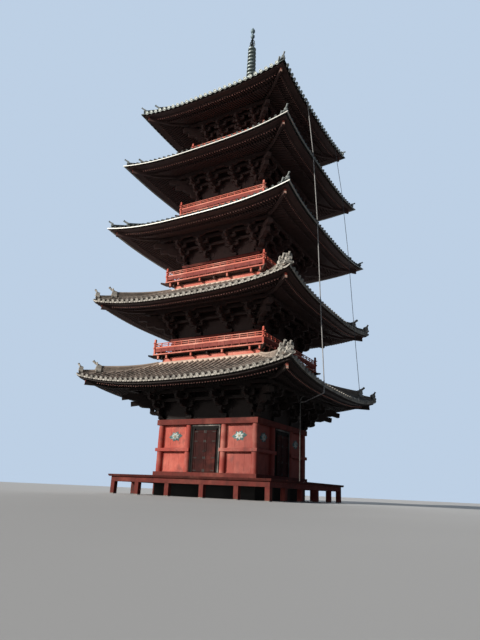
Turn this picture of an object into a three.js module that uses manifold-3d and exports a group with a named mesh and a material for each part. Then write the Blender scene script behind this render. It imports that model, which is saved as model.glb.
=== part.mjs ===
// Five-storey timber pagoda on a low veranda, at its real size.
// Millimetres, +Z up, origin on the ground under the middle of the tower.
// The front faces -Y and east is +X.

import * as THREE from 'three';
import { mergeVertices } from 'three/addons/utils/BufferGeometryUtils.js';
import Module from 'manifold-3d';

const wasm = await Module();
wasm.setup();

// Driving dimensions. Every half-width runs from the tower's axis.
// columns: centre line of the corner columns. floor: top of the floor outside the wall.
// wallTop: underside of the bracket sets. eave, eaveZ: lower tile edge in the middle of a side.
// lift: how far the corners of the eave rise. reach: from the columns to the eave purlin.
// ridge: height of the hip ridges over the roof.
const STOREYS = [
  { columns: 2580, floor: 860, wallTop: 3480, eave: 5620, eaveZ: 4720, lift: 560, reach: 1200, ridge: 320 },
  { columns: 2370, floor: 6750, wallTop: 7600, eave: 5400, eaveZ: 8670, lift: 480, reach: 1120, ridge: 320 },
  { columns: 2170, floor: 10720, wallTop: 11750, eave: 5200, eaveZ: 12850, lift: 410, reach: 1050, ridge: 220 },
  { columns: 1870, floor: 14830, wallTop: 15800, eave: 4910, eaveZ: 16850, lift: 340, reach: 980, ridge: 220 },
  { columns: 1600, floor: 18800, wallTop: 19500, eave: 4500, eaveZ: 20470, lift: 300, reach: 900, ridge: 220 },
];
const INNER_COLUMN_SHARE = 0.376;

// The hair between two pieces that meet, how far a tool passes the face it cuts, and how far
// the pieces of one solid run into each other
const SEAT_GAP = 0.3;
const CUT_THROUGH = 10;
const ROOTED = 20;

// Roof sheets and the rafter decks under them
const FLARE = 90;
const LIFT_POWER = 2.8;
const FADE_POWER = 1.5;
const SLOPE_AT_EAVE = 0.75;
const SHEET = 160;
const SKIRT_OUT = 390;
const COLLAR_OUT = 150;
const COLLAR_BELOW_FLOOR = 450;
const FLASHING_RISE = 190;
const CURB_FOOT = 40;
const DECK_HOLE_IN = 300;
const APEX_Z = 24050;
const APEX_HALF = 480;
const APEX_HOLE = 300;
const BOARD_NEAR = 160;
const BOARD_FAR = 400;
const FLYING_TIP = 580;
const FLYING_ROOT = 950;
const FLYING_SLOPE = 0.3;
const FLYING_BELOW = 110;
const FLYING_HEIGHT = 85;
const RAFTER_SLOPE = 0.35;
const RAFTER_BELOW = 100;
const RAFTER_DECK = 220;
const BOARD = { below: 30, above: 30 };
const HIP_RAFTER = { width: 200, below: 130, inside: 60, tip: 330, tipBelow: 105, tipInside: 165, tipLean: 40 };
const SIDE_STATIONS = [-1, -0.66, 0, 0.66];

// Bracket sets. Each step is [share of the reach, out past it, share of the height].
const BRACKET = { width: 180, cornerWidth: 240, tail: 130, cornerTail: 290, cornerTopGap: 80, root: 10 };
const BRACKET_FOOT = 170;
const BRACKET_STEPS = [[0, 190, 0.14], [1 / 3, 100, 0.2], [1 / 3, 110, 0.33], [2 / 3, 110, 0.4]];
const BRACKET_TAIL = [0.44, 0.56];
const PURLIN = { half: 80, depth: 200 };

// Hip ridges, each in two steps. Each ends in a horn that is a share higher than the ridge behind it.
const RIDGE_WIDTH = 260;
const RIDGE_STEP_BACK = 640;
const RIDGE_TIP_BACK = 110;
const RIDGE_LOW_SHARE = 0.6;
const RIDGE_END_SHARE = 1.4;
const RIDGE_LOW_HORN = 160;
const RIDGE_MAIN_HORN = 220;
const RIDGE_SUNK = 60;
const RIDGE_INNER = { back: 20, sunk: 40, height: 90 };
const RIDGE_MIDDLE = { at: 0.45, height: 0.9 };

// Ground storey
const GROUND = STOREYS[0].columns;
const INNER_COLUMN = 970;
const COLUMN_RADIUS = 155;
const PANEL = { outer: -30, inner: -120 };
const RAIL_OUT = 190;
const RAIL_SHORT = 2;
const SILL = { bottom: 800, top: 1070, outer: 200, inner: -120 };
const MID_RAIL = { bottom: 2000, top: 2150 };
const HEAD = { bottom: 3230, top: 3480, inner: -160 };
const BEARER = { bottom: 620, top: 800, half: 120, innerHalf: 80 };
const BASE_HALF = GROUND + BEARER.half;
const FLOOR_BOARDS = 100;

// Doors
const DOOR = { half: 600, bottom: 1090, top: 2960, frameOut: 75, frameIn: -60, gap: 5 };
const LEAF = { outer: 95, thickness: 50, bottom: 1100, top: 2950, recess: 15, stile: 90 };
const LEAF_RAILS = [1640, 2380];
const CLOSED_RECESS = { half: 205, depth: 30 };
const PIVOT = { x: 595, out: 105, radius: 18 };
const PIVOT_BLOCK = { half: 35, out: 135, root: 5, bottom: 2965, top: 3040 };

// Veranda
const VERANDA = { half: 4225, bottom: 760, top: 860 };
const VERANDA_POSTS = [4000, 2580, 900];
const VERANDA_POST = 220;
const VERANDA_BEAM = { half: 110, bottom: 540 };
const VERANDA_JOIST = { half: 50, depth: 120 };

// Upper walls, balconies and railings
const WALL_HALF = 60;
const UPPER_COLUMN = 130;
const PLATE = { depth: 120, outer: 180, inner: -160 };
const BALCONY_OUT = 780;
const BALCONY_FLOOR = 100;
const BALCONY_SKIRT = 120;
const BALCONY_ARM = { width: 120, depth: 160, end: 80 };
const BALCONY_CORNER = { lowEnd: 60, out: 170, chin: 60 };
const RAILING_IN = 60;
const RAILING = { board: 330, railUnder: 520, top: 600, thickness: 70, strut: 60, bays: 3 };
const RAILING_POST = { half: 50, height: 880 };

// Finial
const FINIAL_TIP = 29370;
const DEW_BASIN = { half: 420, top: APEX_Z + 330, lipHalf: 470, lipTop: APEX_Z + 400 };
const BOWL_HEIGHT = 560;
const RINGS = { count: 9, first: 25130, pitch: 290, largest: 300, smallest: 255, height: 110, width: 150 };
const SPOKE = { half: 20, bottom: 20, top: 60 };
const MAST = { radius: 55, above: 200 };
const FLAME = { thickness: 24, rod: 30, ball: 130, ballAt: 960, jewel: 480 };
const ROUND_SIDES = 8;

// Lightning conductors on the east side
const CONDUCTOR_RADIUS = { front: 24, back: 14 };
const CONDUCTOR_OUT = 45;
const CONDUCTOR_FRONT_Y = [-1650, -2300];
const CONDUCTOR_BACK_Y = [2500, 2750];
const PIPE = { x: 4100, y: -1200, radius: 25, top: 4400, bend: 180, tie: 80 };

// Materials
const RED_PAINT = { color: 0x9c2f22, roughness: 0.7, metalness: 0 };
const BRIGHT_RED_PAINT = { color: 0xc4503a, roughness: 0.65, metalness: 0 };
const DARK_TIMBER = { color: 0x4a1712, roughness: 0.8, metalness: 0 };
const BLACK_LACQUER = { color: 0x1a1614, roughness: 0.5, metalness: 0 };
const GREY_TILE = { color: 0x7d7f80, roughness: 0.75, metalness: 0 };
const COPPER_SHEET = { color: 0x55615c, roughness: 0.6, metalness: 0.5 };
const BRONZE = { color: 0x6f7a66, roughness: 0.55, metalness: 0.7 };
const STONE = { color: 0x8c857a, roughness: 0.9, metalness: 0 };
const WIRE = { color: 0xc9cac8, roughness: 0.5, metalness: 0.6 };

// Solids

function toSolid(geometry) {
  const plain = geometry.clone();
  plain.deleteAttribute('normal');
  plain.deleteAttribute('uv');
  const merged = mergeVertices(plain, 1e-3);
  return new wasm.Manifold(new wasm.Mesh({
    numProp: 3,
    vertProperties: new Float32Array(merged.attributes.position.array),
    triVerts: new Uint32Array(merged.index.array),
  }));
}

function toGeometry(solid) {
  const mesh = solid.getMesh();
  const geometry = new THREE.BufferGeometry();
  geometry.setAttribute('position', new THREE.BufferAttribute(new Float32Array(mesh.vertProperties), 3));
  geometry.setIndex(new THREE.BufferAttribute(new Uint32Array(mesh.triVerts), 1));
  geometry.computeVertexNormals();
  return geometry;
}

function fuse(geometries) {
  return toGeometry(geometries.map(toSolid).reduce((whole, piece) => whole.add(piece)));
}

function cut(geometry, tools) {
  return toGeometry(tools.map(toSolid).reduce((whole, tool) => whole.subtract(tool), toSolid(geometry)));
}

function block(x0, x1, y0, y1, z0, z1) {
  const geometry = new THREE.BoxGeometry(x1 - x0, y1 - y0, z1 - z0);
  return geometry.translate((x0 + x1) / 2, (y0 + y1) / 2, (z0 + z1) / 2);
}

function post(x, y, half, z0, z1) {
  return block(x - half, x + half, y - half, y + half, z0, z1);
}

function box(half, z0, z1) {
  return post(0, 0, half, z0, z1);
}

function column(x, y, radius, z0, z1) {
  const geometry = new THREE.CylinderGeometry(radius, radius, z1 - z0, ROUND_SIDES);
  return geometry.rotateX(Math.PI / 2).rotateZ(Math.PI / ROUND_SIDES).translate(x, y, (z0 + z1) / 2);
}

function squareRing(outer, inner, z0, z1) {
  const shape = new THREE.Shape(squarePoints(outer));
  shape.holes.push(new THREE.Path(squarePoints(inner)));
  return new THREE.ExtrudeGeometry(shape, { depth: z1 - z0, bevelEnabled: false }).translate(0, 0, z0);
}

function squarePoints(half) {
  return [[-half, -half], [half, -half], [half, half], [-half, half]].map(([x, y]) => new THREE.Vector2(x, y));
}

// A plate of the given thickness whose profile lies in the (out, z) plane: out is towards -Y.
function profilePlate(profile, thickness) {
  const shape = new THREE.Shape(profile.map(([out, z]) => new THREE.Vector2(out, z)));
  const geometry = new THREE.ExtrudeGeometry(shape, { depth: thickness, bevelEnabled: false });
  return geometry.translate(0, 0, -thickness / 2).rotateX(Math.PI / 2).rotateZ(-Math.PI / 2);
}

function quarterTurns(geometry) {
  return [0, 1, 2, 3].map((turn) => geometry.clone().rotateZ(turn * Math.PI / 2));
}

// A body swept round the four sides. Each loop gives [out, z] for a station t from -1 to 1 along a side.
// Each panel is split along the same line whichever way its two loops run, so that two bodies can lie
// face to face.
function sideLoft(loops) {
  const perLoop = SIDE_STATIONS.length * 4;
  const positions = [];
  for (const loop of loops) {
    for (let side = 0; side < 4; side += 1) {
      for (const t of SIDE_STATIONS) {
        const [out, z] = loop(t);
        const place = new THREE.Vector3(t * out, -out, z);
        place.applyAxisAngle(new THREE.Vector3(0, 0, 1), side * Math.PI / 2);
        positions.push(place.x, place.y, place.z);
      }
    }
  }
  const index = [];
  for (let row = 0; row < loops.length; row += 1) {
    const next = (row + 1) % loops.length;
    const inwards = loops[row](0)[0] >= loops[next](0)[0];
    for (let step = 0; step < perLoop; step += 1) {
      const after = (step + 1) % perLoop;
      const a = row * perLoop + step;
      const b = row * perLoop + after;
      const c = next * perLoop + after;
      const d = next * perLoop + step;
      index.push(...(inwards ? [a, b, c, a, c, d] : [a, b, d, b, c, d]));
    }
  }
  const geometry = new THREE.BufferGeometry();
  geometry.setAttribute('position', new THREE.BufferAttribute(new Float32Array(positions), 3));
  geometry.setIndex(index);
  return geometry;
}

// Roof surfaces

function roofOf(level) {
  const storey = STOREYS[level];
  const next = STOREYS[level + 1];
  const collar = next ? next.columns + SKIRT_OUT + COLLAR_OUT : APEX_HALF;
  const collarZ = next ? next.floor - COLLAR_BELOW_FLOOR : APEX_Z;
  const curb = next ? next.columns + SKIRT_OUT + SEAT_GAP : APEX_HOLE;
  const curbZ = next ? collarZ + FLASHING_RISE : collarZ;
  const deckInner = (next ? next.columns : storey.columns) - DECK_HOLE_IN;
  const span = storey.eave - collar;
  const rise = collarZ - SHEET - storey.eaveZ;
  const fade = (d) => Math.max(0, 1 - d / span) ** FADE_POWER;
  const lift = (d, t) => storey.lift * Math.abs(t) ** LIFT_POWER * fade(d);
  const out = (d, t) => storey.eave - d + FLARE * t ** 4 * fade(d);
  const under = (d, t) => {
    const s = d / span;
    return storey.eaveZ + rise * (SLOPE_AT_EAVE * s + (1 - SLOPE_AT_EAVE) * s * s) + lift(d, t);
  };
  return { ...storey, collar, collarZ, curb, curbZ, deckInner, span, lift, out, under };
}

// Underside of the rafters at distance d in from the tile edge, in the middle of a side
function rafterUnder(roof, d) {
  return d < FLYING_ROOT
    ? roof.eaveZ - FLYING_BELOW + FLYING_SLOPE * (d - FLYING_TIP)
    : roof.eaveZ - RAFTER_BELOW + RAFTER_SLOPE * (d - FLYING_ROOT);
}

function deckTopAt(roof, half) {
  const inner = roof.eave - roof.deckInner;
  const low = roof.eaveZ + BOARD.above;
  const high = rafterUnder(roof, inner) + RAFTER_DECK;
  return low + (high - low) * (roof.eave - half - BOARD_FAR) / (inner - BOARD_FAR);
}

function ridgeProfile(roof) {
  const main = RIDGE_STEP_BACK;
  const surface = (d) => [roof.out(d, 1), roof.under(d, 1) + SHEET];
  const raised = (d, height) => {
    const [out, z] = surface(d);
    return [out, z + height];
  };
  const low = roof.ridge * RIDGE_LOW_SHARE;
  const inner = roof.span - RIDGE_INNER.back;
  const middle = roof.span * RIDGE_MIDDLE.at;
  return [
    raised(inner, -RIDGE_INNER.sunk), raised(middle, -RIDGE_SUNK), raised(main, -RIDGE_SUNK),
    raised(RIDGE_TIP_BACK, -RIDGE_SUNK), raised(RIDGE_TIP_BACK, low * RIDGE_END_SHARE),
    raised(RIDGE_TIP_BACK + RIDGE_LOW_HORN, low), raised(main, low),
    raised(main, roof.ridge * RIDGE_END_SHARE), raised(main + RIDGE_MAIN_HORN, roof.ridge),
    raised(middle, roof.ridge * RIDGE_MIDDLE.height), raised(inner, RIDGE_INNER.height),
  ];
}

// A profile in the (half-width, z) plane of a corner, as a plate of the given thickness on the diagonal
function diagonalPlate(profile, thickness) {
  const stretched = profile.map(([half, z]) => [half * Math.SQRT2, z]);
  return profilePlate(stretched, thickness).rotateZ(Math.PI / 4);
}

function roofSheet(level) {
  const roof = roofOf(level);
  const rows = [0, 0.35, 0.7, 1].map((share) => share * roof.span);
  const top = rows.map((d) => (t) => [roof.out(d, t), roof.under(d, t) + SHEET]);
  const curbTop = () => [roof.curb, roof.curbZ];
  const curbBottom = () => [roof.curb, roof.collarZ - SHEET - CURB_FOOT];
  const bottomRows = [roof.span, roof.span * 0.6, BOARD_FAR, BOARD_NEAR, 0];
  const bottom = bottomRows.map((d) => (t) => [roof.out(d, t), roof.under(d, t)]);
  const sheet = sideLoft([...top, curbTop, curbBottom, ...bottom]);
  return fuse([sheet, ...quarterTurns(diagonalPlate(ridgeProfile(roof), RIDGE_WIDTH))]);
}

function rafterDeck(level) {
  const roof = roofOf(level);
  const inner = roof.eave - roof.deckInner;
  const purlin = roof.eave - roof.columns - roof.reach;
  const flat = Math.min(roof.span, inner - 100);
  const at = (d, z) => (t) => [roof.out(d, t), z + roof.lift(d, t)];
  const boardTop = (d) => (t) => [roof.out(d, t), roof.under(d, t) - SEAT_GAP];
  const deck = sideLoft([
    boardTop(BOARD_NEAR),
    boardTop(BOARD_FAR),
    at(BOARD_FAR, roof.eaveZ + BOARD.above),
    at(flat, deckTopAt(roof, roof.eave - flat)),
    at(inner, deckTopAt(roof, roof.deckInner)),
    at(inner, rafterUnder(roof, inner)),
    at(purlin, rafterUnder(roof, purlin)),
    at(FLYING_ROOT, rafterUnder(roof, FLYING_ROOT)),
    at(FLYING_ROOT, roof.eaveZ),
    at(FLYING_TIP, rafterUnder(roof, FLYING_TIP)),
    at(FLYING_TIP, rafterUnder(roof, FLYING_TIP) + FLYING_HEIGHT),
    at(BOARD_NEAR, roof.eaveZ - BOARD.below),
  ]);
  return fuse([deck, ...hipRafters(roof)]);
}

function hipRafters(roof, clearance = 0) {
  const wall = roof.eave - roof.columns + WALL_HALF;
  const purlin = roof.eave - roof.columns - roof.reach;
  const tip = HIP_RAFTER.tip;
  const tipBelow = -HIP_RAFTER.tipBelow - clearance;
  const below = -HIP_RAFTER.below - clearance;
  const point = (d, offset) => [roof.out(d, 1), rafterUnder(roof, d) + roof.lift(d, 1) + offset];
  const profile = [
    point(wall + clearance, below), point(purlin, below), point(FLYING_ROOT, below),
    point(tip, tipBelow), point(tip + HIP_RAFTER.tipLean, HIP_RAFTER.tipInside),
    point(purlin, HIP_RAFTER.inside), point(wall + clearance, HIP_RAFTER.inside),
  ];
  return quarterTurns(diagonalPlate(profile, HIP_RAFTER.width + clearance * 2));
}

// Bracket sets

function bracketProfile(roof, tip, topGap) {
  const base = roof.wallTop;
  const root = WALL_HALF - BRACKET.root;
  const head = roof.reach + PURLIN.half;
  const top = (out) => rafterUnder(roof, roof.eave - roof.columns - out) - topGap;
  const room = top(roof.reach) - base;
  const steps = BRACKET_STEPS.map(([share, past, height]) => [roof.reach * share + past, base + room * height]);
  const tail = BRACKET_TAIL.map((height) => [tip, base + room * height]);
  return [[root, base], [BRACKET_FOOT, base], ...steps, ...tail, [head, top(head)], [root, top(root)]];
}

function bracketSets(level) {
  const roof = roofOf(level);
  const { columns, reach } = roof;
  const inner = columns * INNER_COLUMN_SHARE;
  const underAt = (half) => rafterUnder(roof, roof.eave - half) - SEAT_GAP;
  const straight = profilePlate(bracketProfile(roof, reach + BRACKET.tail, SEAT_GAP), BRACKET.width);
  const corner = bracketProfile(roof, reach + BRACKET.cornerTail, BRACKET.cornerTopGap)
    .map(([out, z]) => [out + columns, z]);
  const purlin = columns + reach;
  const purlinTop = underAt(purlin + PURLIN.half);
  const pieces = [
    squareRing(columns + WALL_HALF, columns - WALL_HALF, roof.wallTop, underAt(columns + WALL_HALF)),
    squareRing(purlin + PURLIN.half, purlin - PURLIN.half, purlinTop - PURLIN.depth, purlinTop),
  ];
  for (const x of [-inner, inner]) {
    pieces.push(...quarterTurns(straight.clone().translate(x, -columns, 0)));
  }
  pieces.push(...quarterTurns(diagonalPlate(corner, BRACKET.cornerWidth)));
  return cut(fuse(pieces), hipRafters(roof, SEAT_GAP));
}

// Upper storeys

function upperWalls(level) {
  const storey = STOREYS[level];
  const below = roofOf(level - 1);
  const bottom = deckTopAt(below, storey.columns - WALL_HALF) + SEAT_GAP;
  const shell = squareRing(storey.columns + WALL_HALF, storey.columns - WALL_HALF, bottom, storey.wallTop);
  const plate = squareRing(storey.columns + PLATE.outer, storey.columns + PLATE.inner,
    storey.wallTop - PLATE.depth, storey.wallTop);
  const inner = storey.columns * INNER_COLUMN_SHARE;
  const top = storey.wallTop - PLATE.depth / 2;
  const pieces = [shell, plate];
  for (const x of [-storey.columns, -inner, inner]) {
    pieces.push(...quarterTurns(block(x - UPPER_COLUMN, x + UPPER_COLUMN, -storey.columns - UPPER_COLUMN,
      -storey.columns, bottom, top)));
  }
  return fuse(pieces);
}

function balcony(level) {
  const storey = STOREYS[level];
  const half = storey.columns + BALCONY_OUT;
  const wall = storey.columns + UPPER_COLUMN + SEAT_GAP;
  const skirt = storey.columns + SKIRT_OUT;
  const under = storey.floor - BALCONY_FLOOR;
  const armBottom = under - BALCONY_ARM.depth;
  const floor = squareRing(half, wall, under, storey.floor);
  const skirtRing = squareRing(skirt, skirt - BALCONY_SKIRT, storey.floor - COLLAR_BELOW_FLOOR - SHEET, under);
  const pieces = [floor, skirtRing];
  for (const x of [-storey.columns, -storey.columns * INNER_COLUMN_SHARE, storey.columns * INNER_COLUMN_SHARE,
    storey.columns]) {
    const arm = block(x - BALCONY_ARM.width / 2, x + BALCONY_ARM.width / 2,
      -half + BALCONY_ARM.end, -skirt + ROOTED, armBottom, under);
    pieces.push(...quarterTurns(arm));
  }
  const tip = half + BALCONY_CORNER.out;
  const cornerArm = [
    [skirt - ROOTED, armBottom], [half - BALCONY_CORNER.lowEnd, armBottom],
    [tip, under - BALCONY_CORNER.chin], [tip, under + ROOTED], [skirt - ROOTED, under + ROOTED],
  ];
  pieces.push(...quarterTurns(diagonalPlate(cornerArm, BALCONY_ARM.width)));
  return fuse(pieces);
}

function railing(level) {
  const storey = STOREYS[level];
  const line = storey.columns + BALCONY_OUT - RAILING_IN;
  const near = -line - RAILING.thickness / 2;
  const far = near + RAILING.thickness;
  const side = block(-line, line, near, far, storey.floor, storey.floor + RAILING.top);
  const bay = (line * 2 - RAILING_POST.half * 2) / RAILING.bays;
  const gaps = [];
  for (let number = 0; number < RAILING.bays; number += 1) {
    const x0 = -line + RAILING_POST.half + bay * number + RAILING.strut / 2;
    gaps.push(block(x0, x0 + bay - RAILING.strut, near - CUT_THROUGH, far + CUT_THROUGH,
      storey.floor + RAILING.board, storey.floor + RAILING.railUnder));
  }
  const top = storey.floor + RAILING_POST.height;
  return fuse([
    ...quarterTurns(cut(side, gaps)),
    ...quarterTurns(post(line, -line, RAILING_POST.half, storey.floor, top)),
  ]);
}

// Ground storey, built for the front and turned to each side

function wallUnit(corner) {
  const z0 = SILL.top;
  const z1 = HEAD.bottom;
  const start = corner ? GROUND : GROUND - COLUMN_RADIUS - SEAT_GAP;
  const panel = block(-start, -INNER_COLUMN, -GROUND - PANEL.outer, -GROUND - PANEL.inner, z0, z1);
  const rail = block(-start, -INNER_COLUMN + COLUMN_RADIUS - RAIL_SHORT, -GROUND - RAIL_OUT,
    -GROUND - PANEL.inner, MID_RAIL.bottom, MID_RAIL.top);
  const pieces = [panel, rail, column(-INNER_COLUMN, -GROUND, COLUMN_RADIUS, z0, z1)];
  if (corner) {
    pieces.push(column(-GROUND, -GROUND, COLUMN_RADIUS, z0, z1));
    pieces.push(block(-GROUND - RAIL_OUT, -GROUND + COLUMN_RADIUS, -GROUND - RAIL_OUT,
      -GROUND + COLUMN_RADIUS, MID_RAIL.bottom, MID_RAIL.top));
  }
  return fuse(pieces);
}

function mirrored(geometry) {
  const copy = geometry.clone().scale(-1, 1, 1);
  const index = copy.index.array;
  for (let start = 0; start < index.length; start += 3) {
    [index[start], index[start + 1]] = [index[start + 1], index[start]];
  }
  copy.computeVertexNormals();
  return copy;
}

function doorFrame() {
  const side = INNER_COLUMN - COLUMN_RADIUS - SEAT_GAP;
  const y0 = -GROUND - DOOR.frameOut;
  const y1 = -GROUND - DOOR.frameIn;
  const whole = block(-side, side, y0, y1, SILL.top, HEAD.bottom);
  const opening = block(-DOOR.half, DOOR.half, y0 - CUT_THROUGH, y1 + CUT_THROUGH, DOOR.bottom, DOOR.top);
  const blocks = [-PIVOT.x, PIVOT.x].map((x) => block(x - PIVOT_BLOCK.half, x + PIVOT_BLOCK.half,
    -GROUND - PIVOT_BLOCK.out, y0 + PIVOT_BLOCK.root, PIVOT_BLOCK.bottom, PIVOT_BLOCK.top));
  return fuse([cut(whole, [opening]), ...blocks]);
}

// Bottom and top of the three recessed panels, one over the other, of a leaf
function panelRows(bottom, top) {
  const rails = [bottom, ...LEAF_RAILS];
  const panelTops = [...LEAF_RAILS, top - LEAF.stile];
  return rails.map((rail, row) => [rail + LEAF.stile, panelTops[row]]);
}

// The leaf on the +X side of the front doorway
function doorLeaf() {
  const x0 = DOOR.gap;
  const x1 = DOOR.half - DOOR.gap * 2;
  const y0 = -GROUND - LEAF.outer;
  const y1 = y0 + LEAF.thickness;
  const leaf = block(x0, x1, y0, y1, LEAF.bottom, LEAF.top);
  const recesses = panelRows(LEAF.bottom, LEAF.top).map(([z0, z1]) => block(x0 + LEAF.stile, x1 - LEAF.stile,
    y0 - CUT_THROUGH, y0 + LEAF.recess, z0, z1));
  const pivot = column(PIVOT.x, -GROUND - PIVOT.out, PIVOT.radius, SILL.top + SEAT_GAP,
    PIVOT_BLOCK.bottom - SEAT_GAP);
  return fuse([cut(leaf, recesses), pivot]);
}

// Frame and both leaves as one closed front, for the two sides whose doors stay shut
function closedDoors() {
  const side = INNER_COLUMN - COLUMN_RADIUS - SEAT_GAP;
  const whole = block(-side, side, -GROUND - DOOR.frameOut, -GROUND - DOOR.frameIn, SILL.top, HEAD.bottom);
  const face = -GROUND - DOOR.frameOut;
  const recesses = [];
  for (const x of [-DOOR.half / 2, DOOR.half / 2]) {
    for (const [z0, z1] of panelRows(DOOR.bottom, DOOR.top)) {
      recesses.push(block(x - CLOSED_RECESS.half, x + CLOSED_RECESS.half, face - CUT_THROUGH,
        face + CLOSED_RECESS.depth, z0, z1));
    }
  }
  return cut(whole, recesses);
}

function floorFrame() {
  const pieces = [squareRing(GROUND + BEARER.half, GROUND - BEARER.half, BEARER.bottom, BEARER.top)];
  for (const y of [-INNER_COLUMN, INNER_COLUMN]) {
    pieces.push(block(-GROUND, GROUND, y - BEARER.innerHalf, y + BEARER.innerHalf, BEARER.bottom, BEARER.top));
  }
  return fuse(pieces);
}

function verandaFrame() {
  const [line] = VERANDA_POSTS;
  const places = [-VERANDA_POSTS[1], -VERANDA_POSTS[2], VERANDA_POSTS[2], VERANDA_POSTS[1]];
  const pieces = [squareRing(line + VERANDA_BEAM.half, line - VERANDA_BEAM.half, VERANDA_BEAM.bottom,
    VERANDA.bottom)];
  for (const x of [-line, ...places]) {
    pieces.push(...quarterTurns(post(x, -line, VERANDA_POST / 2, 0, VERANDA_BEAM.bottom + ROOTED)));
  }
  for (const x of [places[0], places[3]]) {
    const joist = block(x - VERANDA_JOIST.half, x + VERANDA_JOIST.half, -line,
      -GROUND - BEARER.half - SEAT_GAP, VERANDA.bottom - VERANDA_JOIST.depth, VERANDA.bottom);
    pieces.push(...quarterTurns(joist));
  }
  return fuse(pieces);
}

// Finial

function turned(profile) {
  const points = profile.map(([radius, z]) => new THREE.Vector2(radius, z));
  return new THREE.LatheGeometry(points, ROUND_SIDES).rotateX(Math.PI / 2);
}

// A square basin with a lip, and on it an inverted bowl under an open lotus
function finialBase() {
  const foot = DEW_BASIN.lipTop;
  const bowl = turned([[0, foot - ROOTED], [400, foot - ROOTED], [390, foot + 130], [300, foot + 270],
    [120, foot + 330], [120, foot + 380], [230, foot + 420], [330, foot + 520], [300, foot + BOWL_HEIGHT],
    [0, foot + BOWL_HEIGHT]]);
  return fuse([
    box(DEW_BASIN.half, APEX_Z, DEW_BASIN.top),
    box(DEW_BASIN.lipHalf, DEW_BASIN.top, DEW_BASIN.lipTop),
    bowl,
  ]);
}

function ringLevel(number) {
  return RINGS.first + RINGS.pitch * number;
}

function finialRings() {
  const pieces = [column(0, 0, MAST.radius, DEW_BASIN.lipTop + BOWL_HEIGHT,
    ringLevel(RINGS.count - 1) + MAST.above)];
  for (let number = 0; number < RINGS.count; number += 1) {
    const radius = THREE.MathUtils.lerp(RINGS.largest, RINGS.smallest, number / (RINGS.count - 1));
    const z = ringLevel(number);
    const hole = radius - RINGS.width;
    const arm = radius - RINGS.width / 2;
    const spoke = block(-arm, arm, -SPOKE.half, SPOKE.half, z + SPOKE.bottom, z + SPOKE.top);
    const top = z + RINGS.height;
    pieces.push(turned([[hole, z], [radius, z], [radius, top], [hole, top], [hole, z]]));
    pieces.push(number % 2 ? spoke : spoke.rotateZ(Math.PI / 2));
  }
  return fuse(pieces);
}

// Outline of one flame plate over its foot
function flameBlade(foot) {
  const blade = new THREE.Shape();
  blade.moveTo(0, foot + 20);
  blade.quadraticCurveTo(170, foot + 60, 215, foot + 280);
  blade.lineTo(150, foot + 330);
  blade.lineTo(180, foot + 520);
  blade.lineTo(90, foot + 560);
  blade.lineTo(0, foot + 800);
  blade.lineTo(-90, foot + 560);
  blade.lineTo(-180, foot + 520);
  blade.lineTo(-150, foot + 330);
  blade.lineTo(-215, foot + 280);
  blade.quadraticCurveTo(-170, foot + 60, 0, foot + 20);
  return blade;
}

// Two crossed flame plates, a ball and a pointed jewel on one rod
function finialFlame() {
  const foot = ringLevel(RINGS.count - 1) + MAST.above;
  const plate = new THREE.ExtrudeGeometry(flameBlade(foot), {
    depth: FLAME.thickness, bevelEnabled: false, curveSegments: 3,
  });
  plate.translate(0, 0, -FLAME.thickness / 2).rotateX(Math.PI / 2);
  const ball = new THREE.SphereGeometry(FLAME.ball, 10, 7).rotateX(Math.PI / 2);
  const jewelFoot = FINIAL_TIP - FLAME.jewel;
  const jewel = turned([[0, jewelFoot], [90, jewelFoot + 20], [145, jewelFoot + 130], [120, jewelFoot + 250],
    [50, jewelFoot + 360], [0, FINIAL_TIP]]);
  return fuse([
    column(0, 0, FLAME.rod, foot, jewelFoot + 80),
    plate,
    plate.clone().rotateZ(Math.PI / 2),
    ball.translate(0, 0, foot + FLAME.ballAt),
    jewel,
  ]);
}

// Lightning conductors

// A path that stops exactly at each of its points
class StraightRuns extends THREE.Curve {
  constructor(points) {
    super();
    this.points = points;
  }

  getPointAt(share) {
    const place = share * (this.points.length - 1);
    const start = Math.min(Math.floor(place), this.points.length - 2);
    return this.points[start].clone().lerp(this.points[start + 1], place - start);
  }

  getTangentAt(share) {
    const number = Math.round(share * (this.points.length - 1));
    const before = this.points[Math.max(number - 1, 0)];
    const after = this.points[Math.min(number + 1, this.points.length - 1)];
    return after.clone().sub(before).normalize();
  }
}

function tubeAlong(points, radius) {
  const section = new THREE.Shape();
  section.absarc(0, 0, radius, 0, Math.PI * 2);
  return new THREE.ExtrudeGeometry(section, {
    extrudePath: new StraightRuns(points), steps: points.length - 1, curveSegments: 4, bevelEnabled: false,
  });
}

// Middle of the tile edge of one roof at the given distance along its east side
function tileEdge(level, y) {
  const storey = STOREYS[level];
  const station = SIDE_STATIONS[SIDE_STATIONS.length - 1];
  const share = Math.abs(y) / storey.eave / station;
  const out = storey.eave + FLARE * station ** 4 * share;
  const rise = storey.lift * station ** LIFT_POWER * share;
  return new THREE.Vector3(out, y, storey.eaveZ + rise + SHEET / 2);
}

// A taut wire fixed to the edge of the top roof that bears outwards past each lower eave
function conductorRun(y0, y1) {
  const points = [];
  for (let level = STOREYS.length - 1; level >= 0; level -= 1) {
    const share = 1 - level / (STOREYS.length - 1);
    const edge = tileEdge(level, THREE.MathUtils.lerp(y0, y1, share));
    if (points.length === 0) {
      points.push(edge.clone().setX(edge.x + SEAT_GAP));
    }
    points.push(edge.clone().setX(edge.x + CONDUCTOR_OUT));
  }
  return points;
}

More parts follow.
